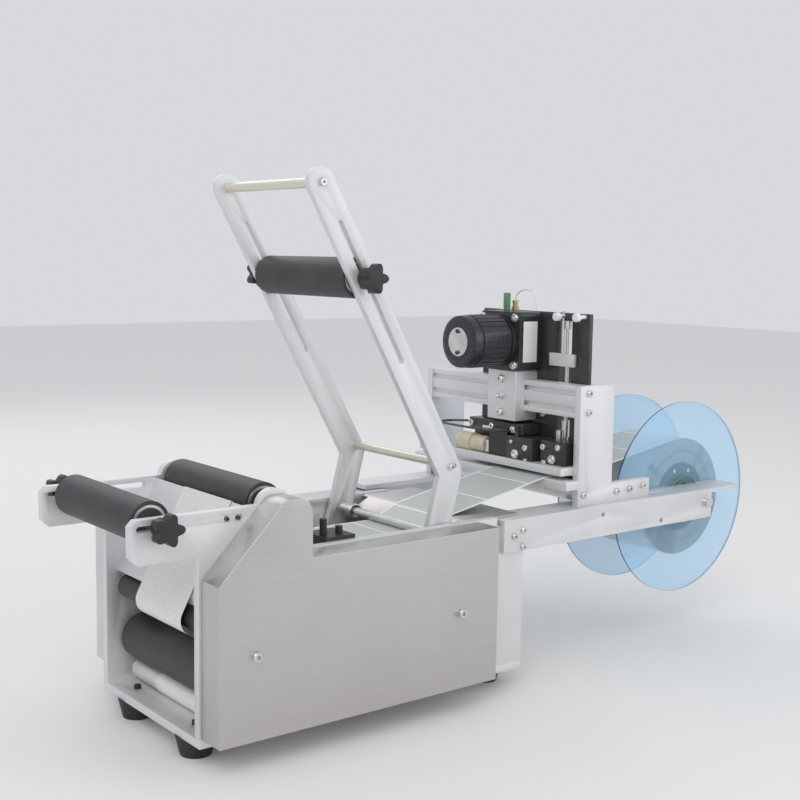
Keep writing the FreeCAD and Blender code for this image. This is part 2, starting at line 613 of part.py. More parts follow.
rods = []
for (x, z), radius in ((on_arm("upper_leg"), "handle_rad"), (on_arm("brace_up", "brace_side"), "brace_rad")):
    rods.append(rod(x, "-arm_in", z, radius, "2 * arm_in"))
group("arm_rods", rods)
screws = []
for x, z in (on_arm("upper_leg"), on_arm("brace_up", "brace_side")):
    for start, head in (("-arm_in - arm_thick", "-arm_in - arm_thick - 3"), ("arm_in", "arm_in + arm_thick")):
        screws.append(boolean("Fuse", rod(x, start, z, "3 - fit", "arm_thick"), rod(x, head, z, "5.5", "3")))
group("arm_screws", screws)
pivot_shaft = rod("pivot_x", "-plate_half", "pivot_z", "pivot_rad", "2 * plate_half")
node(pivot_shaft, "pivot_shaft")

PRESS_X, PRESS_Z = on_arm("press_up")
press_roller = turned("press_roller", "Y", [("-roll_half", "roll_rad"), ("roll_half", "roll_rad")],
                      "shaft_rad + fit")
put(press_roller, PRESS_X, "0", PRESS_Z)
ARM_OUT = "(arm_in + arm_thick)"
ARM_STUD = "(%s + stud_long)" % ARM_OUT
press_shaft = turned("press_shaft", "Y",
                     steps(("-" + ARM_STUD, "fit - arm_in", "stud_rad"),
                           ("fit - arm_in", "arm_in - fit", "shaft_rad"),
                           ("arm_in - fit", ARM_STUD, "stud_rad")))
put(press_shaft, PRESS_X, "0", PRESS_Z)

# --- star knobs: a core, five lobes and a hub ----------------------------
KNOB_PLACES = [("front_knob_near", "front_x", "slot_z", "-plate_half", None),
               ("front_knob_far", "front_x", "slot_z", "plate_half", "180"),
               ("press_knob_near", PRESS_X, PRESS_Z, "-" + ARM_OUT, None),
               ("press_knob_far", PRESS_X, PRESS_Z, ARM_OUT, "180")]
for label, x, z, y, turn in KNOB_PLACES:
    made = body(label)
    hub = sketch_on(made, "XZ_Plane", lift="fit")
    circle(hub, "0", "0", "hub_rad")
    pad(made, hub, "hub_long")
    core = sketch_on(made, "XZ_Plane", lift="hub_long + fit")
    circle(core, "0", "0", "knob_core")
    pad(made, core, "knob_thick")
    lobe = sketch_on(made, "XZ_Plane", lift="hub_long + fit")
    circle(lobe, "0", "knob_ring", "knob_lobe")
    lobes = pad(made, lobe, "knob_thick")
    ring = made.newObject("PartDesign::PolarPattern", label + "_lobes")
    ring.Originals = [lobes]
    ring.Axis = (lobe, ["N_Axis"])
    ring.Angle = 360
    ring.Occurrences = 5
    made.Tip = ring
    hole = sketch_on(made, "XZ_Plane")
    circle(hole, "0", "0", "stud_rad + fit")
    bore = made.newObject("PartDesign::Pocket", label + "_bore")
    bore.Profile = hole
    bore.Reversed = True
    bore.setExpression("Length", bind("stud_long + 1"))
    made.Tip = bore
    put(made, x, y, z, turn, (0, 0, 1))

# --- reel ----------------------------------------------------------------
LABEL_FAR = "(label_near + label_wide)"
reel_shaft = turned("reel_shaft", "Y",
                    steps(("-(plate_half + rail_thick + 6)", "-(plate_half + rail_thick)", "6"),
                          ("-(plate_half + rail_thick)", "far_half + rail_thick", "reel_shaft_rad"),
                          ("far_half + rail_thick", "far_half + rail_thick + 6", "6")))
put(reel_shaft, "reel_x", "0", "reel_z")
discs = []
for start in ("label_near - disc_thick", LABEL_FAR):
    sheet = rod("reel_x", start, "reel_z", "disc_rad", "disc_thick")
    eye = rod("reel_x", start + " - 1", "reel_z", "disc_hole", "disc_thick + 2")
    discs.append(boolean("Cut", sheet, eye))
group("reel_discs", discs)
reel_hub = turned("reel_hub", "Y",
                  steps(("label_near - disc_thick", "label_near", "disc_hole"),
                        ("label_near", LABEL_FAR, "hub_drum"),
                        (LABEL_FAR, LABEL_FAR + " + disc_thick", "disc_hole"),
                        (LABEL_FAR + " + disc_thick", LABEL_FAR + " + disc_thick + 4", "18")), REEL_BORE)
put(reel_hub, "reel_x", "0", "reel_z")
label_roll = turned("label_roll", "Y", steps(("label_near", LABEL_FAR, "label_roll_rad")), "hub_drum")
put(label_roll, "reel_x", "0", "reel_z")

# --- date coder ----------------------------------------------------------
BEAM_FIT = "0.2"
clamp_block = plate("clamp_block", "XZ_Plane",
                    [("clamp_front", "clamp_low"), ("clamp_front", "clamp_top"),
                     ("clamp_back", "clamp_top"), ("clamp_back", "clamp_low")], "clamp_far - clamp_near")
way = sketch_on(clamp_block, "XZ_Plane")
polygon(way, [(BEAM_X + " - " + BEAM_FIT, "post_top - beam_tall - " + BEAM_FIT),
              (BEAM_X + " - " + BEAM_FIT, "post_top + " + BEAM_FIT),
              (BEAM_X + " + beam_deep + " + BEAM_FIT, "post_top + " + BEAM_FIT),
              (BEAM_X + " + beam_deep + " + BEAM_FIT, "post_top - beam_tall - " + BEAM_FIT)])
cut_through(clamp_block, way)
put(clamp_block, "0", "clamp_far")

HEAD_LOW = "(platen_top + gap + web_thick + head_lift + 1)"
LOOP_Z = "(%s + head_tall + 6)" % HEAD_LOW
coder_plate = plate("coder_plate", "YZ_Plane",
                    [("coder_near", "coder_low"), ("coder_far", "coder_low"),
                     ("coder_far", "coder_top"), ("coder_near", "coder_top")], "coder_thick",
                    holes=[("gear_y", "gear_z", "8")])
window = sketch_on(coder_plate, "YZ_Plane")
polygon(window, [("window_near", "window_low"), ("window_far", "window_low"),
                 ("window_far", "window_top"), ("window_near", "window_top")])
cut_through(coder_plate, window)
way_through = sketch_on(coder_plate, "YZ_Plane")
polygon(way_through, [("head_y - spool_wide / 2 - 2", LOOP_Z + " - 4"), ("head_y + spool_wide / 2 + 2", LOOP_Z + " - 4"),
                      ("head_y + spool_wide / 2 + 2", LOOP_Z + " + 4"), ("head_y - spool_wide / 2 - 2", LOOP_Z + " + 4")])
cut_through(coder_plate, way_through)
put(coder_plate, "coder_x")

coder_gearbox = body("coder_gearbox")
case = primitive(coder_gearbox, "AdditiveBox", "-gear_long", "-gear_size / 2", "-gear_size / 2",
                 Length="gear_long", Width="gear_size", Height="gear_size")
DOC.recompute()
soft = coder_gearbox.newObject("PartDesign::Fillet", "gearbox_edges")
soft.Base = (case, ["Edge%d" % (i + 1) for i, edge in enumerate(case.Shape.Edges)
                    if edge.BoundBox.XLength > 1])
soft.Radius = 6
coder_gearbox.Tip = soft
put(coder_gearbox, "coder_x", "gear_y", "gear_z")

MOTOR_END = "(coder_x - gear_long - motor_long)"
coder_motor = turned("coder_motor", "X",
                     steps(("0", "2", "18.5"), ("2", "3", "motor_rad - 3"), ("3", "12", "motor_rad"),
                           ("12", "14", "motor_rad - 1.5"), ("14", "motor_long - 8", "motor_rad - 0.5"),
                           ("motor_long - 8", "motor_long", "motor_rad")))
put(coder_motor, MOTOR_END, "gear_y", "gear_z")

coder_drive = plate("coder_drive", "YZ_Plane",
                    [("gear_y - 26", "gear_z - 70"), ("gear_y + 26", "gear_z - 70"),
                     ("gear_y + 26", "gear_z + 32"), ("gear_y - 26", "gear_z + 32")], "16")
put(coder_drive, "coder_x + coder_thick")

HEAD_Y = ("(head_y - head_wide / 2)", "(head_y + head_wide / 2)")
HEAD_BACK = "(head_x + head_half)"
head_guide = block(HEAD_BACK + " + fit", HEAD_Y[0], HEAD_LOW + " + 4",
                   "coder_x - head_x - head_half - fit", "head_wide", "head_tall - 8")
print_head = plate("print_head", "XY_Plane",
                   [("head_x - head_half", HEAD_Y[0]), (HEAD_BACK, HEAD_Y[0]), (HEAD_BACK, HEAD_Y[1]),
                    ("head_x - head_half", HEAD_Y[1])], "head_tall")
put(print_head, "0", "0", HEAD_LOW)

# The cheek carries the ribbon pins before the plate, the bracket the spools behind it.
PIN_FRONT = "(tie_front + tie_deep + pin_rad + 1.5)"
cheek = block(PIN_FRONT + " - pin_rad - 0.5", "cheek_near", "coder_low + 0.5",
              "coder_x - %s + pin_rad + 0.5" % PIN_FRONT, "cheek_thick", "52")
rear_arm = block("coder_x + coder_thick", "cheek_near", "takeup_z - turn_z - 6",
                 "spool_x + turn_x + 6 - coder_x - coder_thick", "cheek_thick",
                 "supply_z - takeup_z + turn_z + 16")
group("ribbon_brackets", [cheek, rear_arm, head_guide])
PEG_START = "(cheek_near + cheek_thick)"
PEG_LONG = "(2 * (head_y - %s) + 4)" % PEG_START
pins = [rod("spool_x", PEG_START, z, "peg_rad", PEG_LONG) for z in ("supply_z", "takeup_z")]
pins += [rod(PIN_FRONT, PEG_START, z, "pin_rad", "2 * (head_y - %s)" % PEG_START)
         for z in ("coder_low + pin_rad", LOOP_Z + " - pin_rad - ribbon_thick")]
pins.append(rod("spool_x + turn_x", PEG_START, "takeup_z - turn_z", "pin_rad", "2 * (head_y - %s)" % PEG_START))
pins.append(rod("coder_x + coder_thick + pin_rad + 1", PEG_START, "coder_low + pin_rad", "pin_rad",
                "2 * (head_y - %s)" % PEG_START))
KNOB_Y = "(head_y + head_wide / 2 + 11)"
pins.append(boolean("Fuse", rod("feed_x", KNOB_Y + " - 8", "feed_z", "pin_rad", "63"),
                    block("feed_x - 8", KNOB_Y + " - 8", "feed_z - 8", "coder_x - feed_x + 8", "6", "16")))
group("ribbon_pins", pins)
for label, z in (("supply_spool", "supply_z"), ("takeup_spool", "takeup_z")):
    made = turned(label, "Y",
                  steps(("-spool_wide / 2 - 1.5", "-spool_wide / 2", "spool_rad"),
                        ("-spool_wide / 2", "spool_wide / 2", "wound_rad"),
                        ("spool_wide / 2", "spool_wide / 2 + 1.5", "spool_rad")), "peg_rad + fit")
    put(made, "spool_x", "head_y", z)

feed_knob = turned("feed_knob", "Y", steps(("0", "27", "feed_rad - 1.5"), ("27", "55", "feed_rad")),
                   "pin_rad + fit")
put(feed_knob, "feed_x", KNOB_Y, "feed_z")
tension_unit = turned("tension_unit", "Z",
                      steps(("window_low", "window_low + 14", "7"),
                            ("window_low + 14", "window_low + 24", "4"),
                            ("window_low + 24", "window_low + 45", "5.5"),
                            ("window_low + 45", "window_top - 10", "2.4"),
                            ("window_top - 10", "window_top", "5")))
put(tension_unit, "coder_x + coder_thick / 2 + 1", "(window_near + window_far) / 2")

# --- drive inside the frame ----------------------------------------------
drive_motor = turned("drive_motor", "Y",
                     steps((INSIDE + " * -1", "drive_long - " + INSIDE, "drive_rad")), "7")
put(drive_motor, "drive_x", "0", "drive_z")
drive_pulley = turned("drive_pulley", "Y",
                      steps((PULLEY_OUT, PULLEY_IN, "drive_pulley"),
                            (PULLEY_IN, "60 - " + INSIDE, "7 - fit")))
put(drive_pulley, "drive_x", "0", "drive_z")

DRUM_PULLEY_RAD = SIZE["rear_pulley"] * SIZE["drum_rad"] / SIZE["roll_rad"]
BELT_OFF = SIZE["belt_gap"] + SIZE["belt_thick"] / 2
strip("drive_belt", [(SIZE["drum_x"], SIZE["drum_z"], DRUM_PULLEY_RAD + BELT_OFF),
                     (SIZE["drive_x"], SIZE["drive_z"], SIZE["drive_pulley"] + BELT_OFF),
                     (SIZE["rear_x"], SIZE["rear_z"], SIZE["rear_pulley"] + BELT_OFF)],
      SIZE["belt_thick"], "-(plate_half + belt_out + pulley_wide / 2 - 1)", "(pulley_wide - 2)", closed=True)

# --- label web and waste liner -------------------------------------------
HALF_WEB = SIZE["gap"] + SIZE["web_thick"] / 2
TIP = (SIZE["peel_tip_x"], SIZE["peel_tip_z"], SIZE["tip_turn"])
strip("label_web", [(SIZE["reel_x"], SIZE["reel_z"], SIZE["label_roll_rad"] + HALF_WEB),
                    (SIZE["droop_x"], SIZE["droop_z"] + SIZE["droop_rad"], -SIZE["droop_rad"]),
                    (SIZE["tie_front"] + 1, SIZE["platen_top"] + HALF_WEB - 1, 1),
                    (SIZE["deck_front"], SIZE["deck_top"] + HALF_WEB - 1, 1),
                    (SIZE["pivot_x"], SIZE["pivot_z"], -SIZE["pivot_rad"] - HALF_WEB),
                    (SIZE["sag_x"], SIZE["sag_z"] + SIZE["sag_rad"], -SIZE["sag_rad"]),
                    (SIZE["rear_x"], SIZE["rear_z"], -SIZE["roll_rad"] - HALF_WEB),
                    TIP], SIZE["web_thick"], "label_near", "label_wide")
HALF_LINER = SIZE["gap"] / 2 + SIZE["liner_thick"] / 2
PINCH_AT = SIZE["drum_z"] - SIZE["drum_rad"] - SIZE["pinch_rad"] - SIZE["nip_gap"]
NIP = (SIZE["nip_gap"] - SIZE["liner_thick"]) / 2 + SIZE["liner_thick"] / 2
strip("waste_liner", [(SIZE["rear_x"], SIZE["rear_z"], -SIZE["roll_rad"] - HALF_WEB), TIP,
                      (SIZE["idler_x"] - SIZE["bulge"], SIZE["idler_z"], SIZE["idler_rad"] + SIZE["bulge"] + 1),
                      (SIZE["drum_x"], SIZE["drum_z"], -SIZE["drum_rad"] - NIP),
                      (SIZE["pinch_x"], PINCH_AT, SIZE["pinch_rad"] + NIP),
                      (SIZE["pinch_x"] + SIZE["liner_tail"], SIZE["base_thick"] + 2.4, 0.3)], SIZE["liner_thick"],
      "label_near", "label_wide", skip=1)

HALF_RIBBON = SIZE["ribbon_thick"] / 2 + 0.1
FRONT_PIN = SIZE["tie_front"] + SIZE["tie_deep"] + SIZE["pin_rad"] + 1.5
HEAD_FLOOR = SIZE["platen_top"] + SIZE["gap"] + SIZE["web_thick"] + SIZE["head_lift"] + 1
LOOP_AT = HEAD_FLOOR + SIZE["head_tall"] + 6
strip("ink_ribbon", [(SIZE["spool_x"], SIZE["supply_z"], -SIZE["wound_rad"] - HALF_RIBBON),
                     (SIZE["spool_x"] + SIZE["turn_x"], SIZE["takeup_z"] - SIZE["turn_z"],
                      -SIZE["pin_rad"] - HALF_RIBBON),
                     (SIZE["coder_x"] + SIZE["coder_thick"] + SIZE["pin_rad"] + 1,
                      SIZE["coder_low"] + SIZE["pin_rad"], -SIZE["pin_rad"] - HALF_RIBBON),
                     (FRONT_PIN, SIZE["coder_low"] + SIZE["pin_rad"], -SIZE["pin_rad"] - HALF_RIBBON),
                     (FRONT_PIN, LOOP_AT - SIZE["pin_rad"] - SIZE["ribbon_thick"],
                      -SIZE["pin_rad"] - HALF_RIBBON),
                     (SIZE["spool_x"], SIZE["takeup_z"], SIZE["wound_rad"] + HALF_RIBBON)],
      SIZE["ribbon_thick"], "(head_y - spool_wide / 2 + 1)", "(spool_wide - 2)")

# --- screws, sensor and spring -------------------------------------------
SCREW_HEAD = "4.5"
bolts = []
for x, z in (("plate_long - 7", "rail_top - 14"), ("plate_long - 21", "rail_top - 20"),
             ("plate_long - 7", "rail_top - 34")):
    bolts.append(rod(x, "-plate_half - rail_thick - 3", z, SCREW_HEAD, "3"))
for x, z in (("post_front + 14", "post_top - 9"), ("post_front + 14", "post_top - 33"),
             ("post_front + 9", "rail_top + 14"), ("post_front + 69", "rail_top + 13"),
             ("post_front + 93", "rail_top + 14"), ("foot_back - 13", "rail_top + 16")):
    bolts.append(rod(x, "-post_near - 2.5", z, SCREW_HEAD, "2.5"))
    bolts.append(rod(x, "post_far", z, SCREW_HEAD, "2.5"))
for x, z in (("cover_front + 41", "base_thick + 88"), ("cover_back - 54.5", "base_thick + 88")):
    bolts.append(rod(x, "-plate_half - cover_deep - 4", z, "5", "4"))
group("frame_screws", bolts)

SENSOR_LOW = "(sag_z + 9)"
sensor = [block("sag_x - 3", "-" + INSIDE, SENSOR_LOW, "38", "40", "12"),
          rod("sag_x + 3.5", "-" + INSIDE + " + 15", SENSOR_LOW + " + 12", "4", "18", "Z"),
          rod("sag_x + 24", "-" + INSIDE + " + 15", SENSOR_LOW + " + 12", "4", "8", "Z")]
group("label_sensor", sensor)
return_spring = turned("return_spring", "Y", steps(("0", "25", "pivot_rad + 4")), "pivot_rad + 0.5")
put(return_spring, "pivot_x", "60", "pivot_z")

DOC.recompute()
os.makedirs("parts", exist_ok=True)
for made in DOC.Objects:
    if "Invalid" in made.State or "Error" in made.State:
        print("BAD FEATURE", made.Name, made.Label, made.State)
for part in PARTS:
    shape = part.Shape
    bad = [flag for flag in part.State if flag in ("Invalid", "Error")]
    if shape.isNull() or not shape.isValid() or bad:
        print("BAD", part.Label, part.State)
        continue
    shape.exportStep("parts/%s.step" % part.Label)
    print(part.Label, len(shape.Solids), round(shape.Volume), [round(v, 1) for v in
          (shape.BoundBox.XMin, shape.BoundBox.XMax, shape.BoundBox.YMin, shape.BoundBox.YMax,
           shape.BoundBox.ZMin, shape.BoundBox.ZMax)])
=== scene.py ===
# %% [markdown]
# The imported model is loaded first, as a fixed frame.  Its boxes give every
# place that is needed later, so nothing here is fitted by hand.  Lengths in
# the drawings of such a machine are in millimetres, so a small helper turns
# a station on the machine into metres in the frame.

# %% Load the frame
import json
import math

import bpy
import bmesh
from mathutils import Matrix, Vector

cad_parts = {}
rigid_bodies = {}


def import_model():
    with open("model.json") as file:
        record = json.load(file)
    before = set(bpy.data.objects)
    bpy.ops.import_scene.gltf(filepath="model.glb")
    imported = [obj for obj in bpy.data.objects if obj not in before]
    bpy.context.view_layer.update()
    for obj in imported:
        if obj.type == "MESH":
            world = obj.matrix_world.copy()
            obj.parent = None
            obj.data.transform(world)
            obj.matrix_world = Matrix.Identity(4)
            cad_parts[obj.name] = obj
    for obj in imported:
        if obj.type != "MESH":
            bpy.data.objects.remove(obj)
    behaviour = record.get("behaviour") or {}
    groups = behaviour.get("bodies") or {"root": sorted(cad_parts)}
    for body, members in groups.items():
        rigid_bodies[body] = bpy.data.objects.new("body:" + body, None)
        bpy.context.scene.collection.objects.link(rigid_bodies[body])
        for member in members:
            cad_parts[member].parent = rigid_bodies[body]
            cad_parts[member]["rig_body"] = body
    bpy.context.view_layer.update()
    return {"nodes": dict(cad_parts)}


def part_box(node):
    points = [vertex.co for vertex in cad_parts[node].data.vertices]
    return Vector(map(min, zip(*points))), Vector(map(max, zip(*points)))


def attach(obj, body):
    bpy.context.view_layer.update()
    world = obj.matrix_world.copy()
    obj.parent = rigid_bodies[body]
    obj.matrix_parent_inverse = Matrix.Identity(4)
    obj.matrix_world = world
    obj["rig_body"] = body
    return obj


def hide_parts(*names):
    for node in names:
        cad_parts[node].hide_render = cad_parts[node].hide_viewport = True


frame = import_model()
NODES = frame["nodes"]
MM = 0.001
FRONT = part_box("base_plate")[0].x
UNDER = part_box("base_plate")[0].z


def spot(x, y, z):
    """A station in millimetres, from the plates' front edge and the base, in the frame."""
    return Vector((FRONT + x * MM, y * MM, UNDER + z * MM))


# %% [markdown]
# The camera stands low and to the left of the operator, with a normal lens,
# as a catalogue picture of a bench machine is taken.  A camera looks along
# its own minus Z, so its matrix is built from the way it looks, its right
# and its up.

# %% Camera
YAW, PITCH, ROLL = math.radians(38.0), math.radians(-6.6), math.radians(0.86)
forward = Vector((math.sin(YAW) * math.cos(PITCH), math.cos(YAW) * math.cos(PITCH), math.sin(PITCH)))
level = Vector((math.cos(YAW), -math.sin(YAW), 0))
upright = level.cross(forward)
right = level * math.cos(ROLL) + upright * math.sin(ROLL)
up = upright * math.cos(ROLL) - level * math.sin(ROLL)
lens = bpy.data.cameras.new("bench_camera")
lens.sensor_width = 36
lens.lens = 56.78
camera = bpy.data.objects.new("bench_camera", lens)
bpy.context.scene.collection.objects.link(camera)
camera.matrix_world = (Matrix.Translation(spot(-587.6, -1176.3, 491.4))
                       @ Matrix((right, up, -forward)).transposed().to_4x4())
bpy.context.scene.camera = camera
print("camera at", camera.location)

# %% [markdown]
# A pale floor, a bright even world and three large soft lamps give a studio
# light with weak shadows.  Metal mirrors what is round it, so the world is
# kept nearly white and the lamps are large.

# %% Floor and light
bpy.context.scene.view_settings.view_transform = "Standard"
bpy.ops.mesh.primitive_plane_add(size=14, location=(0, 0, 0))
floor = bpy.context.object
floor.name = "studio_floor"
paper = bpy.data.materials.new("floor_paper")
paper.use_nodes = True
paper.node_tree.nodes["Principled BSDF"].inputs["Base Color"].default_value = (0.86, 0.86, 0.85, 1)
paper.node_tree.nodes["Principled BSDF"].inputs["Roughness"].default_value = 0.9
floor.data.materials.append(paper)

world = bpy.data.worlds.new("studio")
world.use_nodes = True
world.node_tree.nodes["Background"].inputs["Color"].default_value = (0.94, 0.96, 1.0, 1)
world.node_tree.nodes["Background"].inputs["Strength"].default_value = 0.72
bpy.context.scene.world = world


def softbox(name, place, target, size, power):
    """A large square lamp that faces its target."""
    lamp = bpy.data.lights.new(name, "AREA")
    lamp.shape = "SQUARE"
    lamp.size = size
    lamp.energy = power
    holder = bpy.data.objects.new(name, lamp)
    bpy.context.scene.collection.objects.link(holder)
    holder.location = place
    holder.rotation_euler = (Vector(target) - Vector(place)).to_track_quat("-Z", "Y").to_euler()


softbox("key_lamp", (-1.6, -1.6, 2.2), (0, 0, 0.2), 1.6, 22)
softbox("side_lamp", (1.8, -2.0, 1.2), (0.1, 0, 0.2), 1.4, 9)
softbox("back_lamp", (0.4, 2.2, 1.8), (0, 0, 0.3), 1.6, 9)

# %% [markdown]
# A finish is a node material.  The two classes below let its maths be
# written as Python sums: a Value wraps one output, and adding or
# multiplying Values adds the Math nodes.

# %% Finishes as sums


class Value:
    """One output of a node, which takes part in Python sums."""

    def __init__(self, finish, socket):
        self.finish = finish
        self.socket = socket

    def _math(self, operation, first, second):
        return self.finish.node("ShaderNodeMath", {"operation": operation}, first, second)

    def __add__(self, other):
        return self._math("ADD", self, other)

    def __sub__(self, other):
        return self._math("SUBTRACT", self, other)

    def __rsub__(self, other):
        return self._math("SUBTRACT", other, self)

    def __mul__(self, other):
        return self._math("MULTIPLY", self, other)

    def __gt__(self, other):
        return self._math("GREATER_THAN", self, other)

    def __lt__(self, other):
        return self._math("LESS_THAN", self, other)

    def __mod__(self, other):
        return self._math("FLOORED_MODULO", self, other)

    __radd__ = __add__
    __rmul__ = __mul__


class Finish:
    """A Principled material whose colour, gloss and relief are sums of Values."""

    def __init__(self, name, colour, roughness, metallic=0.0, **fixed):
        self.material = bpy.data.materials.new(name)
        self.material.use_nodes = True
        self.tree = self.material.node_tree
        self.shader = self.tree.nodes["Principled BSDF"]
        self.set("Base Color", tuple(colour) + (1,))
        self.set("Roughness", roughness)
        self.set("Metallic", metallic)
        for key, value in fixed.items():
            self.set(key.replace("_", " "), value)
        self.place = self.node("ShaderNodeTexCoord", {"out": "Object"})

    def set(self, socket, value):
        if isinstance(value, Value):
            self.tree.links.new(value.socket, self.shader.inputs[socket])
        else:
            self.shader.inputs[socket].default_value = value

    def node(self, kind, settings, *plain, **named):
        made = self.tree.nodes.new(kind)
        out = settings.pop("out", 0)
        stops = settings.pop("stops", None)
        for key, value in settings.items():
            setattr(made, key, value)
        if stops:
            ramp = made.color_ramp
            while len(ramp.elements) < len(stops):
                ramp.elements.new(1.0)
            for element, (where, colour) in zip(ramp.elements, stops):
                element.position = where
                element.color = tuple(colour) + (1,)
        for key, value in list(enumerate(plain)) + [(k.replace("_", " "), v) for k, v in named.items()]:
            if isinstance(value, Value):
                self.tree.links.new(value.socket, made.inputs[key])
            else:
                made.inputs[key].default_value = value
        return Value(self, made.outputs[out])

    def stretched(self, along, across=1.0, up=1.0):
        """Object coordinates, scaled per axis for grain."""
        return self.node("ShaderNodeMapping", {}, Vector=self.place, Scale=(along, across, up))

    def noise(self, scale, detail=3.0, where=None):
        return self.node("ShaderNodeTexNoise", {}, Vector=where or self.place, Scale=scale, Detail=detail)

    def colours(self, factor, *stops):
        return self.node("ShaderNodeValToRGB", {"stops": stops}, factor)

    def blend(self, factor, first, second):
        """A Mix node for colours."""
        made = self.tree.nodes.new("ShaderNodeMix")
        made.data_type = "RGBA"
        sockets = {"Factor": made.inputs[0], "A": made.inputs[6], "B": made.inputs[7]}
        for key, value in (("Factor", factor), ("A", first), ("B", second)):
            if isinstance(value, Value):
                self.tree.links.new(value.socket, sockets[key])
            elif key == "Factor":
                sockets[key].default_value = value
            else:
                sockets[key].default_value = tuple(value) + (1,)
        return Value(self, made.outputs[2])

    def relief(self, height, depth, strength=1.0):
        """Bump of a real depth, in metres."""
        self.set("Normal", self.node("ShaderNodeBump", {}, Strength=strength, Distance=depth, Height=height))

    def axis(self, letter):
        return self.node("ShaderNodeSeparateXYZ", {"out": letter}, self.place)


print("finish helpers ready")

# %% [markdown]
# The plates are aluminium, bead blasted and clear anodised.  Up close such a
# surface is a field of tiny dents with slow, cloudy changes in gloss, so it
# gets a fine bump, a faint cloud in the colour and another in the roughness.

# %% Blasted aluminium
plate_metal = Finish("blasted_aluminium", (0.80, 0.80, 0.81), 0.42, 0.6)
cloud = plate_metal.noise(14, 4)
beads = plate_metal.noise(1800, 2)
plate_metal.set("Base Color", plate_metal.colours(cloud, (0.3, (0.72, 0.72, 0.725)),
                                                  (0.7, (0.79, 0.79, 0.795))))
plate_metal.set("Roughness", cloud * 0.12 + beads * 0.10 + 0.42)
plate_metal.relief(beads, 0.00006)
print(plate_metal.material.name)

# %% [markdown]
# The cover is folded from stainless sheet with a brushed grain.  Grain is
# noise that is stretched many times along one axis.

# %% Brushed stainless
cover_steel = Finish("brushed_stainless", (0.70, 0.68, 0.65), 0.36, 0.9)
grain = cover_steel.noise(1.0, 4, cover_steel.stretched(14, 900, 900))
patch = cover_steel.noise(9, 3)
cover_steel.set("Base Color", cover_steel.blend(grain * 0.6 + patch * 0.4, (0.50, 0.475, 0.455),
                                                (0.64, 0.615, 0.60)))
cover_steel.set("Roughness", grain * 0.16 + patch * 0.08 + 0.26)
cover_steel.relief(grain, 0.00005)
print(cover_steel.material.name)

# %% [markdown]
# Turned steel has rings that are too fine to see one by one, so noise in
# the gloss and a little in the colour is enough for pins and screws.

# %% Turned steel, cream rods and brass
turned_steel = Finish("turned_steel", (0.72, 0.71, 0.69), 0.3, 0.95)
lines = turned_steel.noise(600, 3)
turned_steel.set("Roughness", lines * 0.2 + 0.2)
turned_steel.set("Base Color", turned_steel.colours(turned_steel.noise(60), (0.3, (0.62, 0.61, 0.59)),
                                                    (0.75, (0.80, 0.79, 0.77))))
turned_steel.relief(lines, 0.00003)

dark_steel = Finish("black_oxide_steel", (0.10, 0.10, 0.105), 0.38, 0.8)
worn = dark_steel.noise(300, 4)
dark_steel.set("Base Color", dark_steel.colours(worn, (0.35, (0.06, 0.06, 0.065)), (0.8, (0.24, 0.23, 0.22))))
dark_steel.set("Roughness", worn * 0.2 + 0.28)

rod_metal = Finish("cream_rod", (0.74, 0.70, 0.62), 0.34, 0.55)
drawn = rod_metal.noise(1.0, 3, rod_metal.stretched(900, 12, 900))
rod_metal.set("Base Color", rod_metal.blend(drawn, (0.66, 0.62, 0.54), (0.82, 0.78, 0.70)))
rod_metal.set("Roughness", drawn * 0.15 + 0.26)

brass = Finish("brass_fitting", (0.60, 0.47, 0.26), 0.34, 0.95)
brass.set("Roughness", brass.noise(500) * 0.2 + 0.24)

# The knurl's colour follows its bump: painted shade in the pits and a painted highlight on the ridges of one
# steel.
knurl = Finish("fine_knurl", (0.74, 0.72, 0.68), 0.45, 0.6)
cross = knurl.node("ShaderNodeTexVoronoi", {}, Vector=knurl.place, Scale=900.0)
knurl.set("Base Color", knurl.colours(cross, (0.1, (0.55, 0.53, 0.50)), (0.7, (0.86, 0.84, 0.80))))
knurl.relief(cross, 0.0002)
print("metals", len(bpy.data.materials))

# %% [markdown]
# The rollers wear a ground rubber sleeve.  It is nearly black, with a dull
# sheen and a very fine tooth from the grinding wheel.

# %% Rubber and black parts
roller_rubber = Finish("ground_rubber", (0.032, 0.032, 0.035), 0.5)
tooth = roller_rubber.noise(1400, 3)
dust = roller_rubber.noise(40, 4)
roller_rubber.set("Base Color", roller_rubber.colours(dust, (0.3, (0.028, 0.028, 0.031)),
                                                      (0.8, (0.05, 0.05, 0.054))))
roller_rubber.set("Roughness", dust * 0.12 + tooth * 0.1 + 0.4)
roller_rubber.relief(tooth, 0.00008)

foot_rubber = Finish("foot_rubber", (0.02, 0.02, 0.021), 0.55)
pores = foot_rubber.noise(700, 3)
foot_rubber.set("Roughness", pores * 0.2 + 0.45)
foot_rubber.relief(pores, 0.0001)

moulded = Finish("moulded_black", (0.022, 0.022, 0.024), 0.46)
grit = moulded.noise(1100, 2)
moulded.set("Roughness", grit * 0.16 + 0.38)
moulded.relief(grit, 0.00008)

black_paint = Finish("satin_black_paint", (0.028, 0.028, 0.031), 0.36, 0.0, Coat_Weight=0.15)
orange_peel = black_paint.noise(500, 3)
black_paint.set("Base Color", black_paint.colours(black_paint.noise(30), (0.3, (0.022, 0.022, 0.025)),
                                                  (0.8, (0.042, 0.042, 0.046))))
black_paint.set("Roughness", orange_peel * 0.15 + 0.28)
black_paint.relief(orange_peel, 0.00006)

motor_metal = Finish("cast_motor_black", (0.05, 0.05, 0.056), 0.3, 0.45)
cast = motor_metal.noise(260, 4)
motor_metal.set("Base Color", motor_metal.colours(cast, (0.35, (0.036, 0.036, 0.042)),
                                                  (0.8, (0.075, 0.075, 0.085))))
motor_metal.set("Roughness", cast * 0.18 + 0.22)
motor_metal.relief(cast, 0.00008)

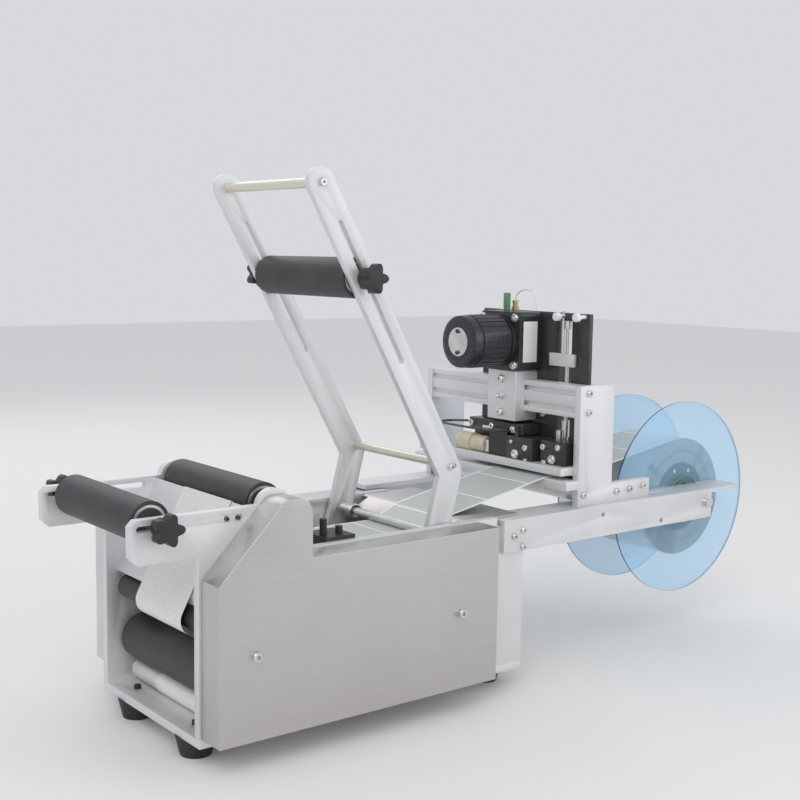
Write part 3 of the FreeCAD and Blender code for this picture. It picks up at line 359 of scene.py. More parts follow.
belt_rubber = Finish("belt_rubber", (0.02, 0.02, 0.02), 0.6)
belt_rubber.relief(belt_rubber.noise(800), 0.0001)
print("blacks", len(bpy.data.materials))

# %% [markdown]
# Painted sheet, cream and white mouldings, clear tube and the elastic cord
# on the reel core are small areas, so each gets a plain but not flat finish.

# %% Paint and plastics
housing_paint = Finish("housing_paint", (0.66, 0.66, 0.66), 0.42)
peel = housing_paint.noise(420, 3)
housing_paint.set("Base Color", housing_paint.colours(housing_paint.noise(12), (0.3, (0.63, 0.63, 0.635)),
                                                      (0.7, (0.70, 0.70, 0.70))))
housing_paint.relief(peel, 0.00008)

cream = Finish("cream_moulding", (0.72, 0.62, 0.45), 0.45)
cream.set("Base Color", cream.colours(cream.noise(120), (0.3, (0.66, 0.57, 0.40)), (0.8, (0.80, 0.71, 0.54))))

white_nylon = Finish("white_nylon", (0.82, 0.82, 0.80), 0.35)
white_nylon.set("Roughness", white_nylon.noise(400) * 0.2 + 0.25)

green_elastic = Finish("green_elastic", (0.10, 0.24, 0.13), 0.6)
twill = green_elastic.noise(1500, 2)
green_elastic.set("Base Color", green_elastic.colours(twill, (0.3, (0.07, 0.17, 0.09)),
                                                      (0.7, (0.20, 0.38, 0.22))))
green_elastic.relief(twill, 0.0002)

film = Finish("ribbon_film", (0.015, 0.015, 0.017), 0.22)
film.set("Roughness", film.noise(80) * 0.15 + 0.15)
print("plastics", len(bpy.data.materials))

# %% [markdown]
# The reel's discs are clear acrylic with a pale blue tint.  A thin sheet
# shows little colour on its faces and a deep one on its edge, where light
# has run inside it, so the edge is a finish of its own.

# %% Acrylic
acrylic = Finish("blue_acrylic", (0.45, 0.74, 0.98), 0.08, Alpha=0.40, IOR=1.49)
smear = acrylic.noise(5, 2)
acrylic.set("Roughness", smear * 0.08 + 0.04)
acrylic.material.surface_render_method = "BLENDED"
acrylic_edge = Finish("acrylic_edge", (0.05, 0.12, 0.24), 0.15, Alpha=0.85)
acrylic_edge.set("Roughness", acrylic_edge.noise(200) * 0.2 + 0.1)
print(acrylic.material.name)

# %% [markdown]
# Blank labels sit on a pale liner with small gaps between them.  The web's
# mesh carries its own length in its UV map, so the gaps are drawn along it
# wherever it bends.

# %% Labels and liner
LABEL_PITCH, LABEL_GAP, LABEL_EDGE = 0.068, 0.0028, 0.035
labels = Finish("blank_labels", (0.60, 0.64, 0.62), 0.4)
unrolled = labels.node("ShaderNodeUVMap", {"uv_map": "unrolled"})
down = labels.node("ShaderNodeSeparateXYZ", {"out": "X"}, unrolled)
over = labels.node("ShaderNodeSeparateXYZ", {"out": "Y"}, unrolled)
in_gap = (down % LABEL_PITCH) < LABEL_GAP
near_edge = over < LABEL_EDGE
far_edge = over > 1 - LABEL_EDGE
bare = labels.node("ShaderNodeMath", {"operation": "MAXIMUM"}, in_gap,
                   labels.node("ShaderNodeMath", {"operation": "MAXIMUM"}, near_edge, far_edge))
fibres = labels.noise(220, 4)
labels.set("Base Color", labels.blend(bare, (0.54, 0.58, 0.565), (0.90, 0.90, 0.88)))
labels.set("Roughness", fibres * 0.15 + 0.28)
labels.relief(1 - bare, 0.0001)

liner_paper = Finish("liner_paper", (0.80, 0.80, 0.79), 0.55)
pulp = liner_paper.noise(300, 4)
liner_paper.set("Base Color", liner_paper.colours(pulp, (0.3, (0.74, 0.74, 0.735)),
                                                  (0.7, (0.84, 0.84, 0.83))))
liner_paper.relief(pulp, 0.00005)

roll_side = Finish("wound_labels", (0.58, 0.62, 0.62), 0.6)
hub_place = (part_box("label_roll")[0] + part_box("label_roll")[1]) / 2
centred = roll_side.node("ShaderNodeMapping", {}, Vector=roll_side.place,
                         Location=(-hub_place.x, 0, -hub_place.z))
flat = roll_side.node("ShaderNodeVectorMath", {"operation": "MULTIPLY"}, centred, (1.0, 0.0, 1.0))
radius = roll_side.node("ShaderNodeVectorMath", {"operation": "LENGTH", "out": "Value"}, flat)
turns = roll_side.noise(1.0, 2, roll_side.node("ShaderNodeCombineXYZ", {}, radius * 1600))
RING_IN, RING_OUT = 0.0615, 0.0635
ring = (radius > RING_IN) * (radius < RING_OUT)
wound = roll_side.colours(turns, (0.3, (0.52, 0.57, 0.575)), (0.7, (0.66, 0.69, 0.68)))
roll_side.set("Base Color", roll_side.blend(ring, wound, (0.36, 0.40, 0.42)))
roll_side.relief(turns, 0.0001)
print("papers", len(bpy.data.materials))

# %% [markdown]
# Every later piece uses the same few hand moves: select one object, bevel
# it, put it in place and hand it to the frame.  A finished piece has its
# place in its mesh, with its object at the origin.

# %% Hand moves


def only(obj):
    """Select one object and nothing else."""
    bpy.ops.object.select_all(action="DESELECT")
    obj.select_set(True)
    bpy.context.view_layer.objects.active = obj


def apply(obj, kind, **settings):
    """Add a modifier and apply it."""
    only(obj)
    modifier = obj.modifiers.new(kind.lower(), kind)
    for key, value in settings.items():
        setattr(modifier, key, value)
    bpy.ops.object.modifier_apply(modifier=modifier.name)


def soften(obj, width, segments=3, angle=35):
    """Round the edges sharper than the angle."""
    apply(obj, "BEVEL", width=width, segments=segments, limit_method="ANGLE", angle_limit=math.radians(angle))


def hand_in(obj, name, finish, body, slot, *nodes, smooth=35):
    """Fix the place in the mesh, give the finish and hang the piece on its body."""
    only(obj)
    bpy.ops.object.transform_apply(location=True, rotation=True, scale=True)
    bpy.ops.object.shade_smooth_by_angle(angle=math.radians(smooth))
    obj.name = name
    obj.data.name = name
    obj.data.materials.clear()
    obj.data.materials.append(finish.material)
    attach(obj, body)
    if nodes:
        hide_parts(*nodes)
    return obj


TURNS = {"X": (0, math.pi / 2, 0), "Y": (-math.pi / 2, 0, 0), "Z": (0, 0, 0),
         "-X": (0, -math.pi / 2, 0), "-Y": (math.pi / 2, 0, 0)}


def lathe(rows, place, way="Y", sides=48):
    """Extrude a disc along its axis and scale it at each step; rows are (along, radius) in mm."""
    bpy.ops.object.select_all(action="DESELECT")
    bpy.ops.mesh.primitive_circle_add(vertices=sides, radius=rows[0][1] * MM, fill_type="NGON",
                                      location=(0, 0, rows[0][0] * MM))
    obj = bpy.context.object
    bpy.ops.object.mode_set(mode="EDIT")
    bpy.ops.mesh.select_all(action="SELECT")
    for (along, radius), (next_along, next_radius) in zip(rows, rows[1:]):
        bpy.ops.mesh.extrude_region_move(TRANSFORM_OT_translate={"value": (0, 0, (next_along - along) * MM)})
        if next_radius != radius:
            scale = next_radius / radius
            bpy.ops.transform.resize(value=(scale, scale, 1))
    bpy.ops.mesh.select_all(action="SELECT")
    bpy.ops.mesh.normals_make_consistent(inside=False)
    bpy.ops.object.mode_set(mode="OBJECT")
    only(obj)
    bpy.ops.object.transform_apply(location=True, rotation=True, scale=True)
    obj.rotation_euler = TURNS[way]
    obj.location = place
    bpy.ops.object.transform_apply(location=True, rotation=True, scale=True)
    return obj


def slab(low, high):
    """A box between two corners."""
    bpy.ops.object.select_all(action="DESELECT")
    low, high = Vector(low), Vector(high)
    bpy.ops.mesh.primitive_cube_add(size=1, location=(low + high) / 2)
    obj = bpy.context.object
    obj.scale = high - low
    bpy.ops.object.transform_apply(location=True, rotation=True, scale=True)
    return obj


def cut(obj, tool):
    """Take one solid out of another."""
    apply(obj, "BOOLEAN", operation="DIFFERENCE", object=tool, solver="EXACT")
    bpy.data.objects.remove(tool)


def joined(*objs):
    """Several meshes as one piece."""
    only(objs[0])
    for obj in objs[1:]:
        obj.select_set(True)
    bpy.ops.object.join()
    return objs[0]


def copy_of(obj):
    """The same piece again, with a mesh of its own."""
    made = obj.copy()
    made.data = obj.data.copy()
    bpy.context.scene.collection.objects.link(made)
    return made


def body_of(node):
    return NODES[node]["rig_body"]


def merged_copy(node):
    """A copy of a node's mesh, its triangles merged into flat faces."""
    made = copy_of(NODES[node])
    made.parent = None
    for key in list(made.keys()):
        if key.startswith("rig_"):
            del made[key]
    only(made)
    bpy.ops.object.mode_set(mode="EDIT")
    bpy.ops.mesh.select_all(action="SELECT")
    bpy.ops.mesh.remove_doubles(threshold=0.00001)
    bpy.ops.mesh.dissolve_limited(angle_limit=math.radians(1))
    bpy.ops.object.mode_set(mode="OBJECT")
    return made


def dress(finish, *nodes):
    """Give CAD nodes a finish as they are."""
    for node in nodes:
        NODES[node].data.materials.clear()
        NODES[node].data.materials.append(finish.material)


print("hand moves ready")

# %% [markdown]
# Machined plates have a small broken edge that catches the light.  Each
# plate is a copy of its solid with that edge added by a Bevel.

# %% Plates with broken edges
SOFT_PLATES = {"base_plate": 0.6, "side_plate_near": 0.7, "side_plate_far": 0.7, "rear_plate": 0.5,
               "peel_plate": 0.3, "rail_near": 0.5, "rail_far": 0.5, "gantry_side_near": 0.6,
               "gantry_side_far": 0.6, "cross_beam": 0.4, "tie_bar": 0.4, "platen_bar": 0.4,
               "clamp_block": 0.6, "arm_near": 0.6, "arm_far": 0.6}
for node, width in SOFT_PLATES.items():
    plate = merged_copy(node)
    soften(plate, width * MM, segments=2)
    hand_in(plate, node + "_plate", plate_metal, body_of(node), "satin_aluminium", node)
print("plates", len(SOFT_PLATES))

# %% [markdown]
# The cover is folded from thin stainless sheet, so its corners are round and
# its walls thin.  The deck behind the swing arm is the same sheet.  The
# housing on the far side is painted, and nothing is fixed to it.

# %% Cover and deck
for node, width in (("belt_cover", 1.2), ("deck_sheet", 0.5)):
    sheet_metal = merged_copy(node)
    soften(sheet_metal, width * MM * 0.5, segments=3)
    hand_in(sheet_metal, node + "_sheet", cover_steel, body_of(node), "brushed_stainless", node)
housing = merged_copy("control_box")
soften(housing, 0.6 * MM, segments=3)
hand_in(housing, "control_housing", housing_paint, "frame", "painted_housing", "control_box")
dress(moulded, "control_unit")
print("sheet metal ready")

# %% [markdown]
# A roller is a rubber sleeve on a tube, with an aluminium end ring and a
# bearing that shows its inner and outer race.  Extruding a disc and
# scaling it at each step turns that profile.

# %% Rollers
ROLLERS = {"front_roller": ("front_roll", 88, 22, True), "press_roller": ("press_roll", 88, 22, True),
           "rear_roller": ("rear_roll", 88, 22, False), "traction_roller": ("traction_roll", 90, 25.6, False),
           "idler_roller": ("idler_roll", 90, 13, False)}


def middle(node):
    low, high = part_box(node)
    return (low + high) / 2


for node, (body, half, rad, bearing) in ROLLERS.items():
    low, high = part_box(node)
    axis = Vector(((low.x + high.x) / 2, 0, (low.z + high.z) / 2))
    sleeve = lathe([(-half, rad - 3.5), (-half, rad - 0.8), (-half + 0.8, rad), (half - 0.8, rad),
                    (half, rad - 0.8), (half, rad - 3.5)], axis, "Y", 72)
    hand_in(sleeve, node + "_sleeve", roller_rubber, body, "roller_rubber", node, smooth=40)
    for side in (-1, 1):
        inner = rad - 3.5
        cap = lathe([(0, inner), (0.5, inner - 0.4), (0.5, inner - 3.0), (-1.2, inner - 3.2),
                     (-1.2, inner - 6.0), (0.2, inner - 6.2), (0.2, max(inner - 9.5, 3.2))],
                    axis + Vector((0, side * (half - 0.4) * MM, 0)), "Y" if side > 0 else "-Y", 48)
        hand_in(cap, "%s_end_%s" % (node, "near" if side < 0 else "far"), turned_steel, body, "satin_steel",
                smooth=30)
    if not bearing:
        stub = lathe([(-110 if node != "rear_roller" else -116, 6 if rad > 13 else 4),
                      (110, 6 if rad > 13 else 4)], axis, "Y", 24)
        hand_in(stub, node + "_axle", turned_steel, body, "satin_steel")
dress(knurl, "pinch_roller")
dress(turned_steel, "guide_roller", "front_shaft", "press_shaft", "pivot_shaft", "reel_shaft", "drive_pulley")
dress(rod_metal, "arm_rods")
dress(roller_rubber, "drive_belt")
print("rollers", len(ROLLERS))

# %% [markdown]
# The hand knobs are five-lobed stars.  A tall cylinder of sixty sides is
# pulled in and out at each corner by a cosine, which gives round lobes, and
# then its rims are bevelled.

# %% Star knobs


def star(core, lobe, thick, sides=80):
    """A star block along Z from 0 to thick, in mm."""
    bpy.ops.object.select_all(action="DESELECT")
    bpy.ops.mesh.primitive_cylinder_add(vertices=sides, radius=core * MM, depth=thick * MM,
                                        location=(0, 0, thick * MM / 2))
    obj = bpy.context.object
    bpy.ops.object.transform_apply(location=True, rotation=True, scale=True)
    for vertex in obj.data.vertices:
        turn = math.atan2(vertex.co.y, vertex.co.x)
        scale = 1 + lobe / core * (0.5 + 0.5 * math.cos(5 * turn)) ** 0.8
        vertex.co.x *= scale
        vertex.co.y *= scale
    soften(obj, 2.2 * MM, segments=4, angle=60)
    return obj


KNOBS = {"front_knob_near": ("front_knob_a", "front_shaft", -1),
         "front_knob_far": ("front_knob_b", "front_shaft", 1),
         "press_knob_near": ("press_knob_a", "press_shaft", -1),
         "press_knob_far": ("press_knob_b", "press_shaft", 1)}
KNOB_CORE, KNOB_LOBE, KNOB_THICK, KNOB_FOOT = 10.2, 6.2, 13.6, 8.2
for node, (body, shaft, side) in KNOBS.items():
    low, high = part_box(node)
    axis = middle(shaft)
    foot = low.y if side > 0 else high.y
    start = Vector((axis.x, foot, axis.z))
    head = star(KNOB_CORE, KNOB_LOBE, KNOB_THICK)
    head.location = (0, 0, KNOB_FOOT * MM)
    only(head)
    bpy.ops.object.transform_apply(location=True, rotation=True, scale=True)
    hub = lathe([(0.1, 9.2), (0.1, 9.9), (7.2, 8.6), (8.6, 8.2)], (0, 0, 0), "Z", 40)
    knob = joined(head, hub)
    knob.rotation_euler = TURNS["Y" if side > 0 else "-Y"]
    knob.location = start
    hand_in(knob, node + "_star", moulded, body, "black_plastic", node, smooth=40)
print("knobs", len(KNOBS))

# %% [markdown]
# Socket head screws hold every plate.  One screw is a turned head with a
# six-sided socket cut in it, and each place gets its own copy.

# %% Screws


def socket_screw(size):
    """A socket head cap screw, head only, along Z from 0, for a head of that radius in mm."""
    head = lathe([(0, size), (size * 0.85, size), (size, size * 0.88)], (0, 0, 0), "Z", 28)
    bpy.ops.object.select_all(action="DESELECT")
    bpy.ops.mesh.primitive_cylinder_add(vertices=6, radius=size * 0.5 * MM, depth=size * 1.2 * MM,
                                        location=(0, 0, size * MM))
    cut(head, bpy.context.object)
    return head


def screw_at(name, master, place, way, body, finish=turned_steel, slot="satin_steel"):
    made = copy_of(master)
    made.rotation_euler = TURNS[way]
    made.location = place
    return hand_in(made, name, finish, body, slot, smooth=30)


small_screw, mid_screw, large_screw = socket_screw(2.6), socket_screw(4.0), socket_screw(5.2)
FRAME_SCREWS = [(427.5, -116, 170.5), (413.5, -116, 164.5), (427.5, -116, 150.5), (543, -106, 325),
                (543, -106, 301), (538, -106, 198.5), (598, -106, 197.5), (622, -106, 198.5),
                (647, -106, 200.5)]
for i, (x, y, z) in enumerate(FRAME_SCREWS):
    screw_at("frame_screw_%d" % i, mid_screw, spot(x, y, z), "-Y", "frame")
    if i >= 3:
        screw_at("far_frame_screw_%d" % i, mid_screw, spot(x, 190, z), "Y", "frame")
for i, x in enumerate((43, 308)):
    first = screw_at("cover_screw_%d" % i, large_screw, spot(x, -146, 97), "-Y", "frame")
    if i == 0:
        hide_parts("frame_screws")
for i, (x, z) in enumerate(((30.5, 229.8), (43, 229.8))):
    screw_at("slot_screw_%d" % i, small_screw, spot(x, -110, z), "-Y", "frame", dark_steel, "black_metal")
print("screws", len(FRAME_SCREWS) + 4)

# %% [markdown]
# The swing arm's rods are held by one screw at each end, through the eye and
# through the knee of both arms.

# %% Arm screws
for name, (x, z) in {"eye": (150.0, 563.3), "knee": (329.5, 252.6)}.items():
    for side, way in ((-98, "-Y"), (98, "Y")):
        made = screw_at("arm_screw_%s_%s" % (name, "near" if side < 0 else "far"), mid_screw,
                        spot(x, side, z), way, "swing_arm")
        if name == "eye" and side < 0:
            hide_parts("arm_screws")
print("arm screws", 4)

# %% [markdown]
# The reel's two discs are laser-cut sheets.  The faces and the edge are
# different finishes, told apart by which way each face points.

# %% Reel
discs = merged_copy("reel_discs")
hand_in(discs, "reel_disc_pair", acrylic, "reel", "clear_acrylic", "reel_discs", smooth=20)
discs.data.materials.append(acrylic_edge.material)
for face in discs.data.polygons:
    if abs(face.normal.y) < 0.5:
        face.material_index = 1
dress(roll_side, "label_roll")
dress(moulded, "reel_hub")
print("disc faces", len(discs.data.polygons))

# %% [markdown]
# The core between the discs shows a ring of white pin ends, and green
# elastic cord is stretched round it to hold the labels' cardboard tube.

# %% Reel core
hub_low, hub_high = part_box("reel_hub")
hub_axis = Vector(((hub_low.x + hub_high.x) / 2, 0, (hub_low.z + hub_high.z) / 2))
roll_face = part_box("label_roll")[0].y
CORE_PINS, PIN_RING = 8, 0.038
for k in range(CORE_PINS):
    turn = math.radians(360 / CORE_PINS * k + 20)
    place = hub_axis + Vector((PIN_RING * math.cos(turn), roll_face - 0.0003, PIN_RING * math.sin(turn)))
    pin = lathe([(0, 2.6), (1.0, 2.6), (1.3, 2.0)], place, "-Y", 20)
    hand_in(pin, "core_pin_%d" % k, white_nylon, "reel", "spool_plastic")
for k in range(2):
    bpy.ops.object.select_all(action="DESELECT")
    bpy.ops.mesh.primitive_torus_add(major_radius=0.021 + 0.008 * k, minor_radius=0.0012, major_segments=64,
                                     minor_segments=10,
                                     location=hub_axis + Vector((0, roll_face - 0.0046 - 0.0026 * k, 0)),
                                     rotation=(math.pi / 2, 0, 0))
    hand_in(bpy.context.object, "core_elastic_%d" % k, green_elastic, "reel", "black_rubber", smooth=60)
print("core pins", CORE_PINS)

# %% [markdown]
# The label web leaves the reel, passes the guide roller and the platen bar,
# and runs over the deck to the peel plate.  It is laid as a ribbon on the
# same wheels as the solid: straight where it is free and an arc at each
# wheel.  A ribbon's UV map holds the length along it, so labels and gaps
# follow every bend.

# %% Strip path


def leg_way(first, second):
    """The direction of the straight leg between two wheels (x, z, radius; left turns are positive)."""
    along = math.atan2(second[1] - first[1], second[0] - first[0])
    reach = math.hypot(second[0] - first[0], second[1] - first[1])
    return along - math.asin((second[2] - first[2]) / reach)


def strip_points(wheels, rise, step=3.0):
    """Points along a strip in mm, on the wheels' legs and arcs, lifted off its middle line."""
    ways = [leg_way(a, b) for a, b in zip(wheels, wheels[1:])]
    points = []
    for i, (x, z, rad) in enumerate(wheels):
        turns = [ways[max(i - 1, 0)], ways[min(i, len(ways) - 1)]]
        sweep = (turns[1] - turns[0] + math.pi) % (2 * math.pi) - math.pi
        if rad * sweep < 0:
            sweep += math.copysign(2 * math.pi, rad)
        pieces = max(1, math.ceil(abs(rad * sweep) / step)) if 0 < i < len(wheels) - 1 else 0
        for k in range(pieces + 1):
            way = turns[0] + sweep * k / max(pieces, 1)
            left = (-math.sin(way), math.cos(way))
            points.append((x - left[0] * (rad - rise), z - left[1] * (rad - rise)))
    return points


def ribbon(name, wheels, rise, thick, near, wide, finish, body, slot, node):
    """A thin closed strip from y near to near + wide, with its length in its UV map."""
    points = strip_points(wheels, rise)
    back = strip_points(wheels, rise - thick)
    mesh = bmesh.new()
    chart = mesh.loops.layers.uv.new("unrolled")
    lengths = [0.0]
    for (ax, az), (bx, bz) in zip(points, points[1:]):
        lengths.append(lengths[-1] + math.hypot(bx - ax, bz - az) * MM)
    rows = [[mesh.verts.new(spot(x, y, z)) for (x, z), y in
             ((points[i], near), (points[i], near + wide), (back[i], near + wide), (back[i], near))]
            for i in range(len(points))]
    for i in range(len(rows) - 1):
        for side in range(4):
            nxt = (side + 1) % 4
            face = mesh.faces.new((rows[i][side], rows[i][nxt], rows[i + 1][nxt], rows[i + 1][side]))
            over = ((0, 1), (1, 1), (1, 0), (0, 0))[side]
            chart_places = ((i, over[0]), (i, over[1]), (i + 1, over[1]), (i + 1, over[0]))
            for loop, (u, v) in zip(face.loops, chart_places):
                loop[chart].uv = (lengths[u], v)
    mesh.faces.new(rows[0])
    mesh.faces.new(rows[-1])
    bmesh.ops.recalc_face_normals(mesh, faces=mesh.faces)
    data = bpy.data.meshes.new(name)
    mesh.to_mesh(data)
    mesh.free()
    obj = bpy.data.objects.new(name, data)
    bpy.context.scene.collection.objects.link(obj)
    return hand_in(obj, name, finish, body, slot, node, smooth=40)


PEEL_TIP, REAR = (61, 236.5, 1), (86.6, 235.4)
WEB = [(766, 167, 80.65), (586, 522.5, -300), (509, 217.05, 1), (354, 186.65, 1), (312, 176, -5.65),
       (160, 191, -20), REAR + (-22.65,), PEEL_TIP]
LINER = [REAR + (-22.65,), PEEL_TIP, (18.5, 120.5, 17), (38, 61.3, -26.05), (37, 23, 12.25), (62, 11.4, 0.3)]
ribbon("label_web_strip", WEB, 0.25, 0.5, -69, 100, labels, body_of("label_web"), "label_paper", "label_web")
ribbon("waste_liner_strip", LINER, 0.15, 0.3, -69, 100, liner_paper, body_of("waste_liner"),
       "label_paper", "waste_liner")
print("ribbons ready")

# %% [markdown]
# The coder's motor is a finned cast can with a flat end ring and a plain
# silver disc held by two screws.  Its fins run along it: they are thin
# slabs laid round one turned body.

# %% Coder motor
low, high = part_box("coder_motor")
can = Vector((low.x, (low.y + high.y) / 2, (low.z + high.z) / 2))
can_body = lathe([(0, 24), (0, 30), (1.5, 32.6), (12, 33.4), (12.6, 32.0), (14.6, 32.0), (15.2, 33.2),
                  (60, 33.2), (60.6, 31.5), (62.5, 31.5), (63, 33.4), (69.8, 33.4)], can, "X", 96)
hand_in(can_body, "coder_motor_can", motor_metal, "coder", "black_metal", "coder_motor", smooth=35)
FINS = 28
fins = []
for k in range(FINS):
    fin = slab((0.0165, -0.0006, 0.0326), (0.0585, 0.0006, 0.0338))
    fin.rotation_euler = (math.radians(360 / FINS * k), 0, 0)
    fin.location = can
    fins.append(fin)
hand_in(joined(*fins), "coder_motor_fins", motor_metal, "coder", "black_metal")
disc = lathe([(-1.2, 17.4), (-1.0, 18), (0.6, 18)], can, "X", 64)
hand_in(disc, "coder_motor_disc", turned_steel, "coder", "satin_steel")
for k, side in enumerate((-1, 1)):
    screw_at("coder_disc_screw_%d" % k, small_screw, can + Vector((-0.001, 0, side * 0.0135)), "-X", "coder",
             dark_steel, "black_metal")
print("fins", len(fins))

# %% [markdown]
# The gearbox is a cast block with one long bolt at each corner, and a blank
# silver plate on its near side.  The bolts' heads stand on its motor face.

# %% Gearbox
gear = merged_copy("coder_gearbox")
soften(gear, 0.0008, 3)
hand_in(gear, "coder_gearbox_cast", motor_metal, "coder", "black_metal", "coder_gearbox")
glow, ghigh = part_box("coder_gearbox")
for k, (y, z) in enumerate(((0, 0), (0, 1), (1, 0), (1, 1))):
    place = Vector((glow.x, glow.y + 0.0075 + y * (ghigh.y - glow.y - 0.015),
                    glow.z + 0.0075 + z * (ghigh.z - glow.z - 0.015)))
    screw_at("gearbox_bolt_%d" % k, large_screw, place, "-X", "coder")
blank = slab((glow.x + 0.006, glow.y - 0.0006, glow.z + 0.011),
             (glow.x + 0.030, glow.y + 0.0002, glow.z + 0.063))
soften(blank, 0.0003, 2)
hand_in(blank, "gearbox_blank_plate", white_nylon, "coder", "satin_steel")
print("gearbox bolts", 4)

# %% [markdown]
# Below the clamp the coder is a black body crowded with screws and small
# adjusters.  Two black housings stand before the plate, and each screw sits
# on the face that carries it.

# %% Coder body
for name, node in (("coder_plate_sheet", "coder_plate"), ("coder_drive_case", "coder_drive")):
    piece = merged_copy(node)
    soften(piece, 0.0006, 2)
    hand_in(piece, name, black_paint, "coder", "black_metal", node)
BLOCKS = {"head_housing": ((512, -39, 224), (553, 7, 262)), "head_cover": ((539, 46, 224), (553, 100, 262)),
          "shaft_bar": ((518, -16, 262.5), (553, 87, 277)), "guide_block": ((520, -88, 226), (552, -46, 262))}
for name, (a, b) in BLOCKS.items():
    piece = slab(spot(*a), spot(*b))
    soften(piece, 0.0012, 3)
    hand_in(piece, name, black_paint, "coder", "black_metal")
FACE_SCREWS = [(512, -30, 250, 1), (512, -30, 234, 0), (512, -3, 255, 0), (512, -12, 240, 2),
               (539, 50, 256, 0), (539, 50, 246, 0), (539, 50, 236, 0), (539, 50, 228, 0),
               (520, -54, 254, 1), (520, -70, 240, 2),
               (520, -80, 256, 1), (520, -56, 234, 1), (518, 0, 270, 1), (518, 40, 270, 1), (518, 80, 270, 1),
               (552, 71, 290, 1), (552, -20, 290, 1), (552, 90, 250, 1)]
MASTERS = (small_screw, mid_screw, large_screw)
for k, (x, y, z, size) in enumerate(FACE_SCREWS):
    screw_at("coder_screw_%d" % k, MASTERS[size], spot(x, y, z), "-X", "coder")
for k, (x, y) in enumerate(((511, -12), (519, -70))):
    nut = lathe([(0, 6.4), (2.2, 6.4), (2.6, 5.8)], spot(x, y, 240), "-X", 6)
    hand_in(nut, "adjuster_nut_%d" % k, turned_steel, "coder", "satin_steel", smooth=20)
print("coder screws", len(FACE_SCREWS))

# %% [markdown]
# Behind the screws are the coder's small fittings: a bridge plate over the
# ribbon's way, the rod that keeps the ribbon tight with its pin and cup, two
# studs with white nuts, and a push-in connector with its tube.

# %% Coder fittings
bridge = slab(spot(546, -75, 354), spot(551, -32, 370))
soften(bridge, 0.0005, 2)
hand_in(bridge, "bridge_plate", plate_metal, "coder", "satin_aluminium")
PARTS = [("tension_rod", [(0, 2.2), (52, 2.2)], (549.5, -52, 371), "Z", turned_steel, "satin_steel"),
         ("tension_collar", [(0, 4.6), (0.6, 5.2), (18, 5.2), (18.6, 4.6)], (547, -53, 255), "Z",
          turned_steel, "satin_steel"),
         ("cross_pin", [(0, 3.4), (0.6, 4), (20, 4), (20.6, 3.4)], (541, -44, 250), "-Y", rod_metal,
          "cream_rod"),
         ("ribbon_cup", [(0, 3.5), (2, 5.6), (16, 7.0), (22, 7.2)], (541, -54, 224), "Z", white_nylon,
          "spool_plastic"),
         ("plate_stud_a", [(0, 3.4), (14, 3.4), (14.5, 2.8)], (551.5, -52, 416.5), "-X", turned_steel,
          "satin_steel"),
         ("plate_stud_b", [(0, 3.4), (16, 3.4), (16.5, 2.8)], (551.5, -88, 417), "-X", turned_steel,
          "satin_steel"),
         ("white_nut_a", [(0, 5.2), (6, 5.2), (6.8, 4.4)], (541, -52, 416.5), "-X", white_nylon,
          "spool_plastic"),
         ("white_nut_b", [(0, 5.2), (6, 5.2), (6.8, 4.4)], (539, -88, 417), "-X", white_nylon,
          "spool_plastic"),
         ("brass_union", [(0, 5), (5, 5), (5.1, 3.6), (10, 3.6), (10.1, 4.4), (13, 4.4)],
          (545, 32, 420.6), "Z", brass, "satin_steel"),
         ("green_connector", [(0, 4), (6, 4.6), (22, 4.6), (23, 3.6)], (532, 34, 420.6), "Z", green_elastic,
          "clear_acrylic")]
for name, rows, place, way, finish, slot in PARTS:
    hand_in(lathe(rows, spot(*place), way, 32), name, finish, "coder", slot)
print("fittings", len(PARTS))

# %% [markdown]
# A black wire loop guards the head: a bent rod of three millimetres.  It is
# a curve with a round section, turned into a mesh.  The thin tube from the
# connector is a real cord, and the points it runs through are read from its curve.

# %% Wire loop and tube


def round_curve(name, places, radius):
    """A smooth open curve with a round section, through stations in mm."""
    curve = bpy.data.curves.new(name, "CURVE")
    curve.dimensions = "3D"
    curve.bevel_depth = radius
    curve.bevel_resolution = 4
    curve.resolution_u = 12
    line = curve.splines.new("NURBS")
    line.points.add(len(places) - 1)
    for point, place in zip(line.points, places):
        point.co = (*spot(*place), 1)
    line.order_u = 3
    line.use_endpoint_u = True
    obj = bpy.data.objects.new(name, curve)
    bpy.context.scene.collection.objects.link(obj)
    return obj


guard = round_curve("head_guard", [(512, 0, 268), (492, 2, 270), (476, 10, 272), (470, 30, 272),
                                   (470, 66, 272), (472, 92, 272), (480, 100, 272), (500, 100, 272),
                                   (514, 84, 272)], 0.0016)
only(guard)
bpy.ops.object.convert(target="MESH")
hand_in(bpy.context.object, "head_guard", dark_steel, "coder", "black_metal", smooth=60)

TUBE_RAD = 0.0011
tube = round_curve("connector_tube", [(545, 32, 433), (545, 30, 444), (545, 12, 450), (545, -7, 444),
                                      (545, -9, 422)], TUBE_RAD)


def centreline(obj):
    """The points that a curve runs through, in order, from a thin mesh of it."""
    section, obj.data.bevel_depth = obj.data.bevel_depth, 0
    bpy.context.view_layer.update()
    mesh = bpy.data.meshes.new_from_object(obj.evaluated_get(bpy.context.evaluated_depsgraph_get()))
    obj.data.bevel_depth = section
    places = [vertex.co.copy() for vertex in mesh.vertices]
    bpy.data.meshes.remove(mesh)
    return places


TUBE_WAY = centreline(tube)
only(tube)
bpy.ops.object.convert(target="MESH")
tube = hand_in(bpy.context.object, "connector_tube", white_nylon, "coder", "clear_acrylic", smooth=60)

# %% [markdown]
# Two socket screws close the clamp on the beam, and a stud with a nut
# between them sets how hard it grips.

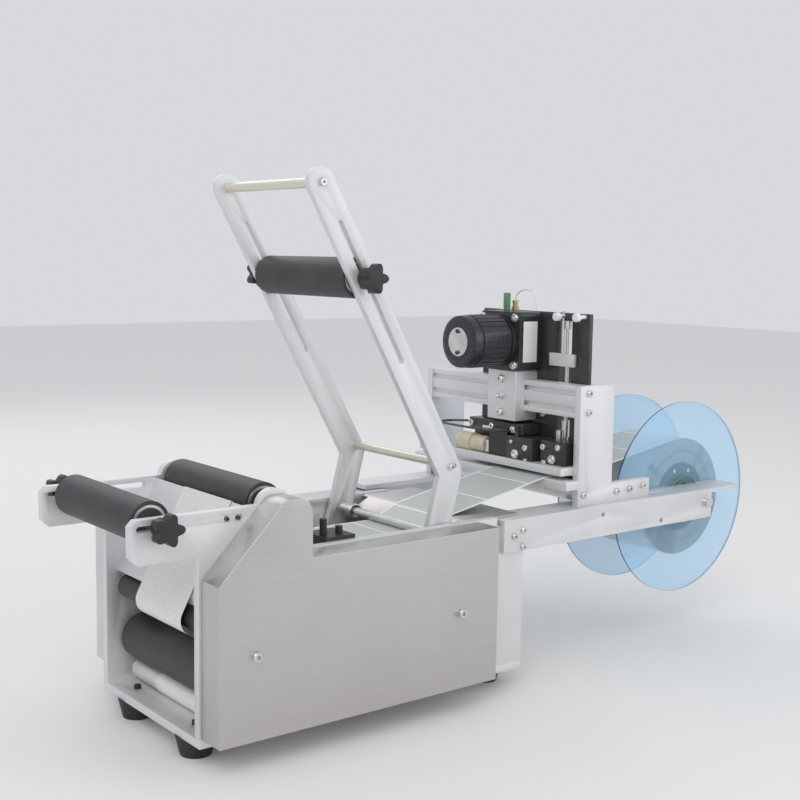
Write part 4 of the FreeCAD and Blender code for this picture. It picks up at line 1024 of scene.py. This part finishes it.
# %% Clamp screws
for k, z in enumerate((291, 334)):
    screw_at("clamp_screw_%d" % k, large_screw, spot(513, 20, z), "-X", "coder")
stud = lathe([(0, 3), (9, 3), (9.6, 2.4)], spot(513, 20, 312), "-X", 20)
hand_in(stud, "clamp_stud", turned_steel, "coder", "satin_steel")
nut = lathe([(0, 5.4), (4.2, 5.4), (4.6, 4.8)], spot(513, 20, 312), "-X", 6)
hand_in(nut, "clamp_nut", turned_steel, "coder", "satin_steel", smooth=20)
print("clamp dressed")

# %% [markdown]
# The return spring is a close wire coil on the pivot shaft.  The coil is a
# curve with a round section, turned into a mesh.

# %% Return spring
low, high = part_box("return_spring")
centre = Vector(((low.x + high.x) / 2, 0, (low.z + high.z) / 2))
coils, per_turn, wire = 9, 24, 0.0011
ring = (high.z - low.z) / 2 - wire
curve = bpy.data.curves.new("spring_wire", "CURVE")
curve.dimensions = "3D"
curve.bevel_depth = wire
curve.bevel_resolution = 3
line = curve.splines.new("POLY")
line.points.add(coils * per_turn)
for k, point in enumerate(line.points):
    turn = 2 * math.pi * k / per_turn
    y = low.y + wire + (high.y - low.y - 2 * wire) * k / (coils * per_turn)
    point.co = (centre.x + ring * math.cos(turn), y, centre.z + ring * math.sin(turn), 1)
coil = bpy.data.objects.new("spring_coil", curve)
bpy.context.scene.collection.objects.link(coil)
only(coil)
bpy.ops.object.convert(target="MESH")
hand_in(bpy.context.object, "spring_coil", turned_steel, body_of("return_spring"), "satin_steel",
        "return_spring", smooth=60)
print("coils", coils)

# %% [markdown]
# The other pieces are small or hidden, so their solids stay and only get a
# finish.

# %% Everything else keeps its solid
dress(foot_rubber, "rubber_feet")
dress(motor_metal, "drive_motor")
dress(black_paint, "ribbon_brackets", "print_head")
dress(moulded, "label_sensor")
dress(turned_steel, "ribbon_pins", "tension_unit")
dress(white_nylon, "supply_spool", "takeup_spool")
dress(cream, "feed_knob")
dress(film, "ink_ribbon")
print("left as solids")

# %% [markdown]
# The screws that were copied are not part of the machine, so they go.

# %% The end
for master in (small_screw, mid_screw, large_screw):
    bpy.data.objects.remove(master)
